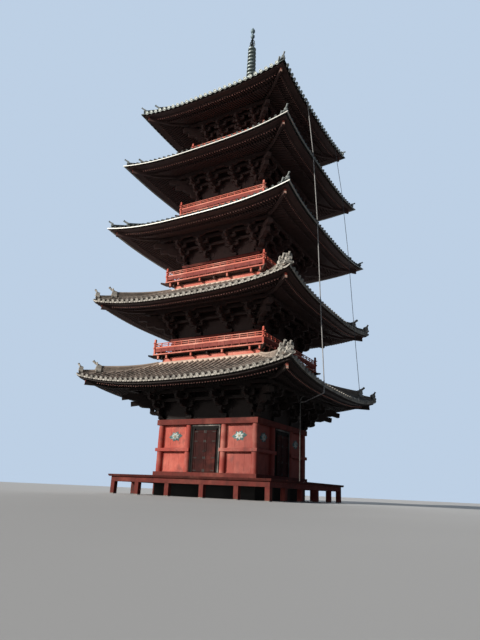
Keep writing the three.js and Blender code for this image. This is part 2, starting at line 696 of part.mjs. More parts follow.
function conductorFront() {
  const points = conductorRun(...CONDUCTOR_FRONT_Y);
  const last = points[points.length - 1];
  points.push(last.clone().setZ(PIPE.top + PIPE.tie));
  points.push(new THREE.Vector3(PIPE.x + PIPE.bend, PIPE.y, PIPE.top - PIPE.tie));
  points.push(new THREE.Vector3(PIPE.x + PIPE.radius + SEAT_GAP, PIPE.y, PIPE.top - PIPE.tie));
  return tubeAlong(points, CONDUCTOR_RADIUS.front);
}

function conductorBack() {
  const points = conductorRun(...CONDUCTOR_BACK_Y);
  const last = points[points.length - 1];
  points.push(last.clone().setX(last.x - CONDUCTOR_OUT + SEAT_GAP));
  return tubeAlong(points, CONDUCTOR_RADIUS.back);
}

function conductorPipe() {
  const at = (out, z) => new THREE.Vector3(PIPE.x + out, PIPE.y, z);
  const turn = Math.SQRT1_2 * PIPE.bend;
  return tubeAlong([
    at(0, VERANDA.top), at(0, PIPE.top), at(PIPE.bend - turn, PIPE.top + turn),
    at(PIPE.bend, PIPE.top + PIPE.bend),
  ], PIPE.radius);
}

// Assembly

const pagoda = new THREE.Group();

function add(name, geometry, look, turn = 0) {
  const mesh = new THREE.Mesh(geometry, new THREE.MeshStandardMaterial(look));
  mesh.name = name;
  mesh.rotation.z = turn * Math.PI / 2;
  pagoda.add(mesh);
}

add('stone_base', box(BASE_HALF, 0, BEARER.bottom), STONE);
const floorHalf = GROUND + SILL.inner - SEAT_GAP;
add('floor_frame', floorFrame(), DARK_TIMBER);
add('veranda_frame', verandaFrame(), RED_PAINT);
add('veranda_deck', squareRing(VERANDA.half, GROUND + SILL.outer + SEAT_GAP, VERANDA.bottom, VERANDA.top),
  RED_PAINT);
add('ground_floor', box(floorHalf, SILL.bottom, SILL.bottom + FLOOR_BOARDS), DARK_TIMBER);
add('sill_ring', squareRing(GROUND + SILL.outer, GROUND + SILL.inner, SILL.bottom, SILL.top), RED_PAINT);
add('head_ring', squareRing(GROUND + RAIL_OUT, GROUND + HEAD.inner, HEAD.bottom, HEAD.top), RED_PAINT);

const cornerUnit = wallUnit(true);
const sideUnit = wallUnit(false);
add('front_wall_left', cornerUnit, RED_PAINT, 0);
add('front_wall_right', mirrored(cornerUnit), RED_PAINT, 0);
add('east_wall_front', sideUnit, RED_PAINT, 1);
add('east_wall_back', mirrored(sideUnit), RED_PAINT, 1);
add('back_wall_east', cornerUnit, RED_PAINT, 2);
add('back_wall_west', mirrored(cornerUnit), RED_PAINT, 2);
add('west_wall_back', sideUnit, RED_PAINT, 3);
add('west_wall_front', mirrored(sideUnit), RED_PAINT, 3);

const leaf = doorLeaf();
add('front_door_frame', doorFrame(), BLACK_LACQUER, 0);
add('front_door_right', leaf, RED_PAINT, 0);
add('front_door_left', mirrored(leaf), RED_PAINT, 0);
add('east_door_frame', doorFrame(), BLACK_LACQUER, 1);
add('east_door_back', leaf, RED_PAINT, 1);
add('east_door_front', mirrored(leaf), RED_PAINT, 1);
add('back_doors', closedDoors(), RED_PAINT, 2);
add('west_doors', closedDoors(), RED_PAINT, 3);

for (let level = 0; level < STOREYS.length; level += 1) {
  const number = level + 1;
  add(`brackets_${number}`, bracketSets(level), DARK_TIMBER);
  add(`eaves_${number}`, rafterDeck(level), DARK_TIMBER);
  add(`roof_${number}`, roofSheet(level), level < 2 ? GREY_TILE : COPPER_SHEET);
  if (level > 0) {
    add(`walls_${number}`, upperWalls(level), RED_PAINT);
    add(`balcony_${number}`, balcony(level), BRIGHT_RED_PAINT);
    add(`railing_${number}`, railing(level), BRIGHT_RED_PAINT);
  }
}

add('finial_base', finialBase(), BRONZE);
add('finial_rings', finialRings(), BRONZE);
add('finial_flame', finialFlame(), BRONZE);
add('conductor_front', conductorFront(), WIRE);
add('conductor_back', conductorBack(), WIRE);
add('conductor_pipe', conductorPipe(), WIRE);

export default pagoda;
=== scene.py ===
# Looks of the timber pagoda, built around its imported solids.
# Metres, +Z up, origin on the ground under the middle of the tower. The front faces -Y, east is +X.

import math

import bmesh
import bpy
import numpy as np
from mathutils import Matrix, Vector


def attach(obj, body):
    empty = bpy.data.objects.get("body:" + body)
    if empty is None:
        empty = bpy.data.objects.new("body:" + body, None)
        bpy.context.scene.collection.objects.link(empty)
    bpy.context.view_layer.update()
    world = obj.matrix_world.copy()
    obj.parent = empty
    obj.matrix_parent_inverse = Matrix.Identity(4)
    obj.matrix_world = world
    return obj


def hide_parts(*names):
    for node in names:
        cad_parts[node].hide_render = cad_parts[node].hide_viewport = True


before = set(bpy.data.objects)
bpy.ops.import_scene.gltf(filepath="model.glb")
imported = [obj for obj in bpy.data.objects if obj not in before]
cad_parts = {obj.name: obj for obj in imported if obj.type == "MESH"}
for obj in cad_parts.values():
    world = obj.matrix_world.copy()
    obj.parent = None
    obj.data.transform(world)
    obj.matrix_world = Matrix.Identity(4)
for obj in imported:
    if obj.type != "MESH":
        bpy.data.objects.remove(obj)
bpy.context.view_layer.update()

ALL = (0, 1, 2, 3)
ROOT = "tower"
SQUARE = ((-1, -1), (1, -1), (1, 1), (-1, 1))

# Storeys: half-width to the corner columns, floor, underside of the brackets, tile edge, its height,
# rise of the corners, distance from columns to purlin, height of the hip ridges, how far the lowest
# tiles hang, distance between rafters, distance between rolls of tiles
STOREYS = [
    dict(columns=2.58, floor=0.86, wall_top=3.48, eave=5.62, eave_z=4.72, corner=0.56, reach=1.20, ridge=0.32,
         edge_sag=0.0, rafter_pitch=0.140, roll_pitch=0.300),
    dict(columns=2.37, floor=6.75, wall_top=7.60, eave=5.40, eave_z=8.67, corner=0.48, reach=1.12, ridge=0.32,
         edge_sag=0.055, rafter_pitch=0.140, roll_pitch=0.305),
    dict(columns=2.17, floor=10.72, wall_top=11.75, eave=5.20, eave_z=12.85, corner=0.41, reach=1.05,
         ridge=0.22, edge_sag=0.03, rafter_pitch=0.149, roll_pitch=0.307),
    dict(columns=1.87, floor=14.83, wall_top=15.80, eave=4.91, eave_z=16.85, corner=0.34, reach=0.98,
         ridge=0.22, edge_sag=0.03, rafter_pitch=0.150, roll_pitch=0.300),
    dict(columns=1.60, floor=18.80, wall_top=19.50, eave=4.50, eave_z=20.47, corner=0.30, reach=0.90,
         ridge=0.22, edge_sag=0.055, rafter_pitch=0.150, roll_pitch=0.306),
]

# How many roofs from the lowest are tiled, and the inner columns' distance as a share of the corner ones'
TILED = 2
INNER_SHARE = 0.376

# Roof sheets, and their upper ends beside the columns of the storey above
SHEET = 0.16
FLARE = 0.09
FLARE_POWER = 4
LIFT_POWER = 2.8
FADE_POWER = 1.5
EDGE_SLOPE = 0.75
SAG_REACH = 0.7
APEX_Z = 24.05
APEX_HALF = 0.48
COLLAR_OUT = 0.54
COLLAR_DROP = 0.45
CURB_OUT = 0.3903
TOP_CURB = 0.30
DECK_IN = 0.30

# Eaves, as distances in from the tile edge, and slopes as rise for each metre in
BOARD_NEAR = 0.16
BOARD_FAR = 0.40
HIP_TIP = 0.33
FLYING_TIP = 0.58
FLYING_ROOT = 0.95
FLYING_HALF = 0.034
FLYING_HEIGHT = 0.085
FLYING_DROP = 0.085
FLYING_SLOPE = 0.24
RAFTER_HALF = 0.044
RAFTER_HEIGHT = 0.10
RAFTER_DROP = 0.10
RAFTER_SLOPE = 0.35
RAFTER_MARGIN = 0.62

# Tiles and rolls. True is for tiled roofs, False for copper ones
ROLL_BASE = 0.125
ROLL_START = 0.03
ROLL_MARGIN = 0.12
ROLL_RADIUS = {True: 0.078, False: 0.058}
DISC_RADIUS = {True: 0.094, False: 0.062}
TOP_DISC_RADIUS = 0.098
RIDGE_LAYERS = {True: 5, False: 3}
COURSE = 0.30
COPPER_COURSE = 0.8
BED = 0.11
BED_START = 0.07
PAN_START = 0.08
PAN_EDGE = 0.150
PAN_SAG = 0.035
STEP = 0.012
LIP_BACK = 0.035


class Roof:
    """The curved surfaces of one roof: d runs in from the tile edge, t along a side from -1 to 1."""

    def __init__(self, level):
        self.__dict__.update(STOREYS[level])
        self.number = level + 1
        self.tiled = level < TILED
        self.top = top = self.number == len(STOREYS)
        above = STOREYS[level if top else level + 1]
        self.collar = APEX_HALF if top else above["columns"] + COLLAR_OUT
        self.collar_z = APEX_Z if top else above["floor"] - COLLAR_DROP
        self.curb = TOP_CURB if top else above["columns"] + CURB_OUT
        self.deck_inner = above["columns"] - DECK_IN
        self.span = self.eave - self.collar
        self.rise = self.collar_z - SHEET - self.eave_z
        self.purlin = self.eave - self.columns - self.reach
        self.disc = TOP_DISC_RADIUS if top else DISC_RADIUS[self.tiled]

    def fade(self, d):
        """How much of the corners' lift and flare is left."""
        return max(0.0, 1 - d / self.span) ** FADE_POWER

    def lifted(self, d, t):
        return self.corner * abs(t) ** LIFT_POWER * self.fade(d)

    def out(self, d, t):
        """Distance from the middle of the tower."""
        return self.eave - d + FLARE * t ** FLARE_POWER * self.fade(d)

    def under(self, d, t):
        """Height of the sheet's underside."""
        s = d / self.span
        return self.eave_z + self.rise * (EDGE_SLOPE * s + (1 - EDGE_SLOPE) * s * s) + self.lifted(d, t)

    def sag(self, d):
        """How far the lowest tiles hang under the line of the sheet."""
        return self.edge_sag * max(0.0, 1 - d / SAG_REACH) ** FADE_POWER

    def rafter(self, d):
        """Height of the rafters' undersides in the middle of a side."""
        if d < FLYING_ROOT:
            return self.eave_z - FLYING_DROP + FLYING_SLOPE * (d - FLYING_TIP)
        return self.eave_z - RAFTER_DROP + RAFTER_SLOPE * (d - FLYING_ROOT)

    def share(self, x, d):
        """The t at which the surface reaches x."""
        t = x / (self.eave - d)
        for _ in range(3):
            t = x / self.out(d, max(-1, min(1, t)))
        return max(-1, min(1, t))

    def over(self, x, d, height):
        """Point over the sheet's underside on the front side."""
        t = self.share(x, d)
        return np.array([x, -self.out(d, t), self.under(d, t) + height - self.sag(d)])

    def below(self, x, d, z):
        """Point at height z in the middle of a side, raised as the eave is towards the corners."""
        t = self.share(x, d)
        return np.array([x, -self.out(d, t), z + self.lifted(d, t)])

    def sheet_line(self, d, height=0.0, drop=0.0):
        """(out, z) at each t, at a height over the sheet's underside."""
        return lambda t: (self.out(d, t), self.under(d, t) + height - drop)

    def eave_line(self, d, z):
        """(out, z) at each t, at height z in the middle of a side, raised towards the corners."""
        return lambda t: (self.out(d, t), z + self.lifted(d, t))

    def hip(self, x):
        """Distance in at which the line at x meets the hip."""
        low, high = 0.0, self.eave
        for _ in range(30):
            middle = (low + high) / 2
            low, high = (middle, high) if self.out(middle, 1) > abs(x) else (low, middle)
        return low


# Shapes

def quarter(points, turn):
    """Points turned by quarters round the tower's axis."""
    cos, sin = ((1, 0), (0, 1), (-1, 0), (0, -1))[turn % 4]
    points = np.asarray(points, float)
    x, y, z = points[:, 0], points[:, 1], points[:, 2]
    return np.stack([x * cos - y * sin, x * sin + y * cos, z], axis=1)


class Shape:
    """Points and faces of one piece, gathered before its mesh is made."""

    def __init__(self):
        self.points = []
        self.faces = []
        self.count = 0

    def add(self, part, sides=(0,)):
        points, faces = part
        for turn in sides:
            self.points.append(quarter(points, turn))
            self.faces += [[index + self.count for index in face] for face in faces]
            self.count += len(points)


def shapes(count):
    return [Shape() for _ in range(count)]


def whole(part):
    shape = Shape()
    shape.add(part)
    return shape


def loft(rings, looped=False):
    """Skin over rings of equally many points, capped, or looped from the last ring to the first."""
    rings = np.array(rings, float)
    rows, cols = rings.shape[:2]
    faces = []
    for row in range(rows if looped else rows - 1):
        after = (row + 1) % rows
        for col in range(cols):
            beside = (col + 1) % cols
            faces.append([row * cols + col, row * cols + beside, after * cols + beside, after * cols + col])
    if not looped:
        faces.append(list(range(cols)))
        faces.append([(rows - 1) * cols + col for col in range(cols)])
    return rings.reshape(-1, 3), faces


def mirrored(sign, x0, x1):
    """A stretch of x on one side or, with sign -1, on the other."""
    return sorted((sign * x0, sign * x1))


def box(x0, x1, y0, y1, z0, z1):
    return loft([[(x, y0, z0), (x, y1, z0), (x, y1, z1), (x, y0, z1)] for x in (x0, x1)])


def bar(x, half, y0, y1, z0, z1):
    """A box that reaches half to either side of x."""
    return box(x - half, x + half, y0, y1, z0, z1)


def post(x, y, levels):
    """A square upright through (half-width, z) levels."""
    return loft([[(x + u * half, y + v * half, z) for u, v in SQUARE] for half, z in levels])


def extrude(profile, near, far, place):
    """A flat outline between two offsets. place(p, q, offset) gives its points."""
    return loft([[place(p, q, offset) for p, q in profile] for offset in (near, far)])


def sweep(path, section, up=(0, 0, 1), scales=None):
    """A section carried along a path: its first coordinate runs sideways, its second up."""
    path = [np.array(point, float) for point in path]
    rings = []
    for number, point in enumerate(path):
        before = path[max(number - 1, 0)]
        after = path[min(number + 1, len(path) - 1)]
        ahead = (after - before) / np.linalg.norm(after - before)
        side = np.cross(ahead, up)
        side /= np.linalg.norm(side)
        rise = np.cross(side, ahead)
        scale = 1 if scales is None else scales[number]
        rings.append([point + scale * (u * side + v * rise) for u, v in section])
    return loft(rings)


def polar(radius, angle, z):
    return (radius * math.cos(angle), radius * math.sin(angle), z)


def circle(radius, count):
    return [polar(radius, math.tau * k / count, 0)[:2] for k in range(count)]


def lathe(profile, origin=(0, 0, 0), axis=(0, 0, 1), count=24):
    """Rings of (distance along, radius) round an axis, capped at both ends."""
    axis = np.array(axis, float) / np.linalg.norm(axis)
    side = np.cross(axis, (0, 0, 1) if abs(axis[2]) < 0.9 else (0, 1, 0))
    side /= np.linalg.norm(side)
    rise = np.cross(side, axis)
    origin = np.array(origin, float)
    return loft([[origin + along * axis + u * side + v * rise for u, v in circle(radius, count)]
                 for along, radius in profile])


def diagonal(half, offset, z):
    """A point over the corner between the front and the east side, offset across the diagonal."""
    shift = offset * math.sqrt(0.5)
    return (half + shift, shift - half, z)


def section_ring(section):
    """A section of (half-width, z) points carried round the four corners of a square."""
    return loft([[(x * half, y * half, z) for half, z in section] for x, y in SQUARE], looped=True)


def square_ring(outer, inner, z0, z1):
    return section_ring([(outer, z0), (outer, z1), (inner, z1), (inner, z0)])


def side_ring(loops, count=24):
    """A closed skin round the four sides, through loops that give (out, z) at each t."""
    stations = [2 * k / count - 1 for k in range(count)]
    rows = []
    for side in ALL:
        for t in stations:
            row = [(t * out, -out, z) for out, z in (loop(t) for loop in loops)]
            rows.append(list(quarter(row, side)))
    return loft(rows, looped=True)


def linked(name, data):
    """A new object in the scene."""
    item = bpy.data.objects.new(name, data)
    bpy.context.scene.collection.objects.link(item)
    return item


def make(name, shape, finish, slot, body=ROOT, replaces=(), smooth=None, bevel=None):
    """A piece on one body. Edges flatter than smooth, in degrees, look smooth. bevel is a width."""
    mesh = bpy.data.meshes.new(name)
    mesh.from_pydata(np.concatenate(shape.points).tolist(), [], shape.faces)
    work = bmesh.new()
    work.from_mesh(mesh)
    bmesh.ops.recalc_face_normals(work, faces=work.faces)
    work.to_mesh(mesh)
    work.free()
    piece = linked(name, mesh)
    mesh.materials.append(finish)
    if smooth:
        mesh.shade_smooth()
        mesh.set_sharp_from_angle(angle=math.radians(smooth))
    if bevel:
        add_bevel(piece, bevel)
    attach(piece, body)
    if replaces:
        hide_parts(*replaces)


def make_at(roof, kind, shape, finish, slot, stands_for=None, **options):
    """A piece of one storey. It may stand for that storey's solid of a kind."""
    replaces = [f"{stands_for}_{roof.number}"] if stands_for else ()
    make(f"{kind}_{roof.number}", shape, finish, slot, replaces=replaces, **options)


BEVEL_FROM = 40


def add_bevel(piece, width):
    bevel = piece.modifiers.new("edges", "BEVEL")
    bevel.width = width
    bevel.segments = 2
    bevel.limit_method = "ANGLE"
    bevel.angle_limit = math.radians(BEVEL_FROM)


# Materials

# Sockets of a mix node that mixes colours
MIX_FIRST = 6
MIX_SECOND = 7
MIX_RESULT = 2


class Nodes:
    """Makes and links the nodes of a material or of the world."""

    def __init__(self, owner):
        owner.use_nodes = True
        self.tree = owner.node_tree

    def feed(self, node, inputs):
        for key, value in inputs.items():
            if isinstance(value, bpy.types.NodeSocket):
                self.tree.links.new(value, node.inputs[key])
            else:
                node.inputs[key].default_value = value

    def node(self, kind, inputs, **settings):
        node = self.tree.nodes.new(kind)
        for key, value in settings.items():
            setattr(node, key, value)
        self.feed(node, inputs)
        return node

    def mix(self, share, first, second, blend="MIX"):
        """Second over first. A colour is a socket or three numbers."""
        first, second = (colour if isinstance(colour, bpy.types.NodeSocket) else (*colour, 1)
                         for colour in (first, second))
        inputs = {"Factor": share, MIX_FIRST: first, MIX_SECOND: second}
        return self.node("ShaderNodeMix", inputs, data_type="RGBA", blend_type=blend).outputs[MIX_RESULT]


class Finish(Nodes):
    """A procedural material whose patterns are in metres of the object's own space."""

    def __init__(self, name):
        self.material = bpy.data.materials.new(name)
        super().__init__(self.material)
        self.shader = self.tree.nodes["Principled BSDF"]
        self.place = self.node("ShaderNodeTexCoord", {}).outputs["Object"]

    def stretched(self, scale):
        return self.node("ShaderNodeMapping", {"Vector": self.place, "Scale": scale}).outputs["Vector"]

    def noise(self, scale, detail=4.0, rough=0.55, stretch=None):
        vector = self.stretched(stretch) if stretch else self.place
        inputs = {"Vector": vector, "Scale": scale, "Detail": detail, "Roughness": rough}
        return self.node("ShaderNodeTexNoise", inputs).outputs["Fac"]

    def axis(self, letter, vector=None):
        """One coordinate of the place, or of another vector."""
        inputs = {"Vector": self.place if vector is None else vector}
        return self.node("ShaderNodeSeparateXYZ", inputs).outputs[letter]

    def ramp(self, value, low, high):
        """0 below low, 1 over high."""
        inputs = {"Value": value, "From Min": low, "From Max": high}
        return self.node("ShaderNodeMapRange", inputs, interpolation_type="SMOOTHSTEP").outputs["Result"]

    def cover(self, shade, colour, value, low, high, amount=1.0):
        """Colour over shade: none where value is below low, the full amount where it is over high."""
        share = self.ramp(value, low, high)
        if amount != 1.0:
            share = self.node("ShaderNodeMath", {0: share, 1: amount}, operation="MULTIPLY").outputs[0]
        return self.mix(share, shade, colour)

    def done(self, colour, rough, metallic=0.0, bumps=(), specular=0.5):
        normal = {}
        for height, strength, distance in bumps:
            bump = {"Height": height, "Strength": strength, "Distance": distance, **normal}
            normal = {"Normal": self.node("ShaderNodeBump", bump).outputs["Normal"]}
        self.feed(self.shader, {"Base Color": colour, "Roughness": rough, "Metallic": metallic,
                                "Specular IOR Level": specular, **normal})
        return self.material


def painted_timber(name, colour, faded, dirt_and_shade, fading, stain_and_shade_amount, upward_fade_and_highlight=0.0, low=None, east=0.0, sheen=0.3):
    """Old paint on boards: faded patches, dark stains, fine grain.

    What faces up is faded, and lighter as a painted highlight. low tints the lowest storeys
    with painted shade, east darkens the east side with painted shade, and heavier stains
    also paint dappled shade.
    """
    f = Finish(name)
    shade = f.cover(colour, faded, f.noise(0.9, 6, 0.6), 0.62 - 0.25 * fading, 0.78)
    # Faded paint on what faces up, which is also a painted highlight.
    if upward_fade_and_highlight:
        normal = f.node("ShaderNodeNewGeometry", {}).outputs["Normal"]
        shade = f.cover(shade, faded, f.axis("Z", normal), 0.3, 0.9, upward_fade_and_highlight)
    shade = f.cover(shade, dirt_and_shade, f.noise(2.2, 7, 0.65), 0.66 - 0.3 * stain_and_shade_amount, 0.80, 0.75)
    shade = f.cover(shade, dirt_and_shade, f.noise(1.4, 5, 0.6, (3.0, 3.0, 0.45)), 0.45, 0.75, 0.35 * stain_and_shade_amount)
    # Painted shade: darker towards the east side, in the colour of the stains.
    if east:
        shade = f.cover(shade, dirt_and_shade, f.axis("X"), -0.5, 2.6, east)
    grain = f.noise(26, 4, 0.6, (1.0, 1.0, 0.18))
    shade = f.cover(shade, dirt_and_shade, grain, 0.45, 0.75, 0.22)
    # Painted shade: the low tint darkens the lowest storeys, less and less up to 11.5 m.
    if low:
        shade = f.mix(1.0, shade, f.cover(low, (1.0, 1.0, 1.0), f.axis("Z"), 6.0, 11.5), "MULTIPLY")
    rough = f.node("ShaderNodeMapRange", {"Value": grain, "To Min": 0.55, "To Max": 0.85}).outputs["Result"]
    return f.done(shade, rough, bumps=[(grain, 0.25, 0.004), (f.noise(7, 5), 0.2, 0.006)], specular=sheen)


def fired_tile(name, dark, light, lichen, light_from=0.42, warm=None, warm_z=None):
    """Smoked clay tiles, each lighter or darker, with lichen. They turn warm over the heights warm_z."""
    f = Finish(name)
    cells = {"Vector": f.stretched((3.4, 3.4, 3.4)), "Scale": 1.0}
    each = f.node("ShaderNodeTexVoronoi", cells).outputs["Color"]
    shade = f.mix(f.node("ShaderNodeSeparateColor", {"Color": each}).outputs[0], dark, light)
    shade = f.cover(shade, light, f.noise(1.3, 6, 0.6), light_from, 0.72)
    if warm:
        shade = f.cover(shade, warm, f.axis("Z"), *warm_z, 0.75)
    shade = f.cover(shade, lichen, f.noise(9, 6, 0.7), 0.55, 0.70, 0.6)
    shade = f.cover(shade, dark, f.noise(30, 4, 0.6), 0.50, 0.75, 0.35)
    bumps = [(f.noise(60, 3), 0.25, 0.003), (f.noise(8, 4), 0.25, 0.008)]
    return f.done(shade, 0.72, bumps=bumps, specular=0.35)


def copper(name, dark, green, metallic, rough, greenness):
    """Weathered copper sheet with runs of verdigris."""
    f = Finish(name)
    runs = f.noise(2.0, 6, 0.6, (2.5, 2.5, 0.6))
    shade = f.cover(dark, green, runs, 0.70 - 0.35 * greenness, 0.75)
    shade = f.cover(shade, green, f.noise(14, 6, 0.7), 0.52, 0.68, 0.5)
    shade = f.cover(shade, dark, f.noise(5, 5), 0.5, 0.75, 0.4)
    return f.done(shade, rough, metallic, [(f.noise(22, 4), 0.2, 0.004), (runs, 0.1, 0.01)])


def cut_stone(name, colour, dark, light):
    f = Finish(name)
    bricks = f.node("ShaderNodeTexBrick", {
        "Vector": f.place, "Scale": 1.0, "Mortar Size": 0.012, "Brick Width": 0.9, "Row Height": 0.9,
        "Color1": (*colour, 1), "Color2": (*light, 1), "Mortar": (*dark, 1)}).outputs
    shade = f.cover(bricks["Color"], dark, f.noise(3, 6), 0.45, 0.75, 0.6)
    shade = f.cover(shade, light, f.noise(40, 4), 0.5, 0.7, 0.5)
    return f.done(shade, 0.9, bumps=[(f.noise(35, 5), 0.4, 0.006), (bricks["Fac"], -0.4, 0.008)])


def plain_metal(name, colour, dark, rough, metallic):
    f = Finish(name)
    shade = f.cover(colour, dark, f.noise(12, 5, 0.6), 0.4, 0.7)
    return f.done(shade, rough, metallic, [(f.noise(50, 3), 0.15, 0.002)])


def plaster(name, colour, dark):
    f = Finish(name)
    shade = f.cover(colour, dark, f.noise(1.6, 6, 0.65), 0.42, 0.75)
    shade = f.cover(shade, dark, f.noise(18, 5, 0.7), 0.5, 0.7, 0.5)
    return f.done(shade, 0.85, bumps=[(f.noise(30, 4), 0.3, 0.004)])


# Darker to the east as painted shade.
RED = painted_timber("red_paint", (0.38, 0.060, 0.043), (0.62, 0.24, 0.185), (0.060, 0.030, 0.027),
                     0.8, 0.5, east=0.35)
# A darker red as painted shade: sill and head beams, upper walls and their trim, veranda posts.
SHADED_BEAM_RED = painted_timber("beam_paint_painted_shade", (0.145, 0.027, 0.021), (0.26, 0.078, 0.056), (0.028, 0.014, 0.011),
                          0.6, 0.8, sheen=0.15)
BOARD_RED = painted_timber("railing_board_paint", (0.23, 0.037, 0.027), (0.40, 0.11, 0.08),
                           (0.06, 0.018, 0.014), 0.6, 0.5)
# A darker panel red whose heavy stains also paint dappled shade, darker to the east as painted shade.
PANEL_RED = painted_timber("panel_paint", (0.46, 0.085, 0.058), (0.70, 0.20, 0.145), (0.085, 0.040, 0.038),
                           0.9, 0.6, east=0.45)
# A darker red for the veranda boards, as painted shade.
SHADED_DECK_RED = painted_timber("deck_paint_painted_shade", (0.078, 0.016, 0.012), (0.155, 0.050, 0.037), (0.018, 0.010, 0.008),
                          0.4, 0.8, sheen=0.1)
# A dark red for the door leaves, as painted shade.
SHADED_DOOR_RED = painted_timber("door_paint_painted_shade", (0.040, 0.009, 0.008), (0.15, 0.034, 0.026),
                          (0.008, 0.006, 0.005), 0.5, 0.9, sheen=0.1)
# Its paler tops are partly a painted highlight.
BRIGHT_RED = painted_timber("bright_red_paint", (0.52, 0.088, 0.056), (0.84, 0.34, 0.25),
                            (0.14, 0.030, 0.022), 0.7, 0.25, upward_fade_and_highlight=0.8)
# A paler red for the rails, as a painted highlight.
RAIL_HIGHLIGHT_RED = painted_timber("rail_paint_painted_highlight", (0.62, 0.17, 0.115), (0.88, 0.46, 0.36), (0.25, 0.06, 0.045),
                           0.9, 0.15)
SALMON = painted_timber("faded_red_paint", (0.52, 0.13, 0.09), (0.78, 0.36, 0.27), (0.25, 0.06, 0.045),
                        0.9, 0.25)
# The low tint of these two is painted shade on the undersides of the lowest storeys.
DARK = painted_timber("dark_red_timber", (0.104, 0.061, 0.055), (0.136, 0.086, 0.074), (0.060, 0.040, 0.036),
                      0.4, 0.6, low=(0.17, 0.185, 0.18), sheen=0.25)
SOFFIT = painted_timber("soffit_boards", (0.110, 0.065, 0.058), (0.150, 0.094, 0.080), (0.056, 0.038, 0.034),
                        0.4, 0.6, low=(0.16, 0.175, 0.17), sheen=0.25)
# Pale paint on the rafter ends, paler still as a painted highlight.
TIP_PAINT_AND_HIGHLIGHT = painted_timber("rafter_end_paint_and_highlight", (0.88, 0.42, 0.34), (0.95, 0.60, 0.50), (0.45, 0.18, 0.14),
                         0.5, 0.2)
BLACK = painted_timber("black_lacquer", (0.008, 0.007, 0.0065), (0.030, 0.026, 0.023),
                       (0.004, 0.0035, 0.0035), 0.4, 0.5, sheen=0.1)
WORN = painted_timber("worn_lacquer", (0.045, 0.040, 0.036), (0.36, 0.33, 0.30), (0.012, 0.010, 0.010),
                      0.8, 0.5)
TILE_1 = fired_tile("roof_tile_low", (0.10, 0.087, 0.075), (0.36, 0.30, 0.255), (0.50, 0.42, 0.35),
                    warm=(0.54, 0.43, 0.35), warm_z=(5.60, 6.30))
TILE_2 = fired_tile("roof_tile_high", (0.085, 0.076, 0.067), (0.31, 0.265, 0.225), (0.46, 0.39, 0.32),
                    warm=(0.50, 0.40, 0.33), warm_z=(9.65, 10.30))
# Near-black hollow tiles and bed, as painted shade in the hollows between the rolls.
SHADED_PAN_TILE = fired_tile("hollow_tile_painted_shade", (0.014, 0.013, 0.012), (0.055, 0.048, 0.041), (0.12, 0.10, 0.082))
TILE_END = fired_tile("tile_end", (0.24, 0.225, 0.20), (0.52, 0.49, 0.435), (0.74, 0.70, 0.63), 0.40)
COPPER = copper("copper_sheet", (0.040, 0.050, 0.050), (0.12, 0.18, 0.165), 0.35, 0.5, 0.5)
COPPER_RIM = copper("copper_rim", (0.12, 0.13, 0.125), (0.32, 0.36, 0.34), 0.2, 0.5, 0.5)
DULL_COPPER = copper("dull_copper", (0.34, 0.37, 0.36), (0.54, 0.57, 0.54), 0.1, 0.5, 0.6)
PALE_COPPER = copper("pale_copper", (0.80, 0.86, 0.80), (0.92, 0.96, 0.92), 0.05, 0.5, 0.7)
COPPER_EDGE = copper("copper_edge", (0.60, 0.60, 0.55), (0.74, 0.76, 0.70), 0.1, 0.4, 0.6)
VERDIGRIS = copper("verdigris", (0.17, 0.24, 0.27), (0.36, 0.48, 0.52), 0.1, 0.5, 0.9)
BRONZE = copper("bronze", (0.24, 0.28, 0.27), (0.50, 0.62, 0.64), 0.25, 0.45, 0.6)
FLAME_BRONZE = copper("flame_bronze", (0.022, 0.030, 0.032), (0.11, 0.14, 0.135), 0.4, 0.5, 0.4)
STONE = cut_stone("plinth_stone", (0.22, 0.205, 0.18), (0.07, 0.066, 0.06), (0.30, 0.28, 0.25))
# Near-black stone for the base under the floor, as painted shade.
SHADED_STONE = cut_stone("stone_painted_shade", (0.040, 0.036, 0.033), (0.012, 0.011, 0.010), (0.06, 0.055, 0.05))
FLASHING = plaster("flashing", (0.72, 0.56, 0.45), (0.40, 0.28, 0.22))
WHITE_PETAL = plaster("white_petal", (0.60, 0.64, 0.60), (0.17, 0.24, 0.24))
GREEN_LEAF = plaster("green_leaf", (0.085, 0.17, 0.17), (0.03, 0.06, 0.065))
PALE_LEAF = plaster("pale_leaf", (0.22, 0.34, 0.33), (0.07, 0.12, 0.12))
OCHRE = plaster("ochre_paint", (0.42, 0.32, 0.16), (0.24, 0.15, 0.07))
WIRE = plain_metal("galvanised_wire", (0.34, 0.335, 0.33), (0.22, 0.215, 0.21), 0.6, 0.1)
# Darker wire for the back conductor, as painted shade.
SHADED_WIRE = plain_metal("wire_painted_shade", (0.14, 0.14, 0.15), (0.07, 0.07, 0.075), 0.6, 0.3)
# Dark grey for the pipe, as painted shade.
SHADED_PIPE = plain_metal("pipe_painted_shade", (0.12, 0.115, 0.11), (0.06, 0.056, 0.053), 0.6, 0.2)
IRON = plain_metal("black_iron", (0.022, 0.020, 0.019), (0.05, 0.042, 0.034), 0.7, 0.3)


# Roof tiles

def roll_lines(roof):
    """An even number of rolls along a side, with a hollow in its middle."""
    count = int((roof.eave - ROLL_MARGIN) / roof.roll_pitch) * 2
    return [(number - (count - 1) / 2) * roof.roll_pitch for number in range(count)]


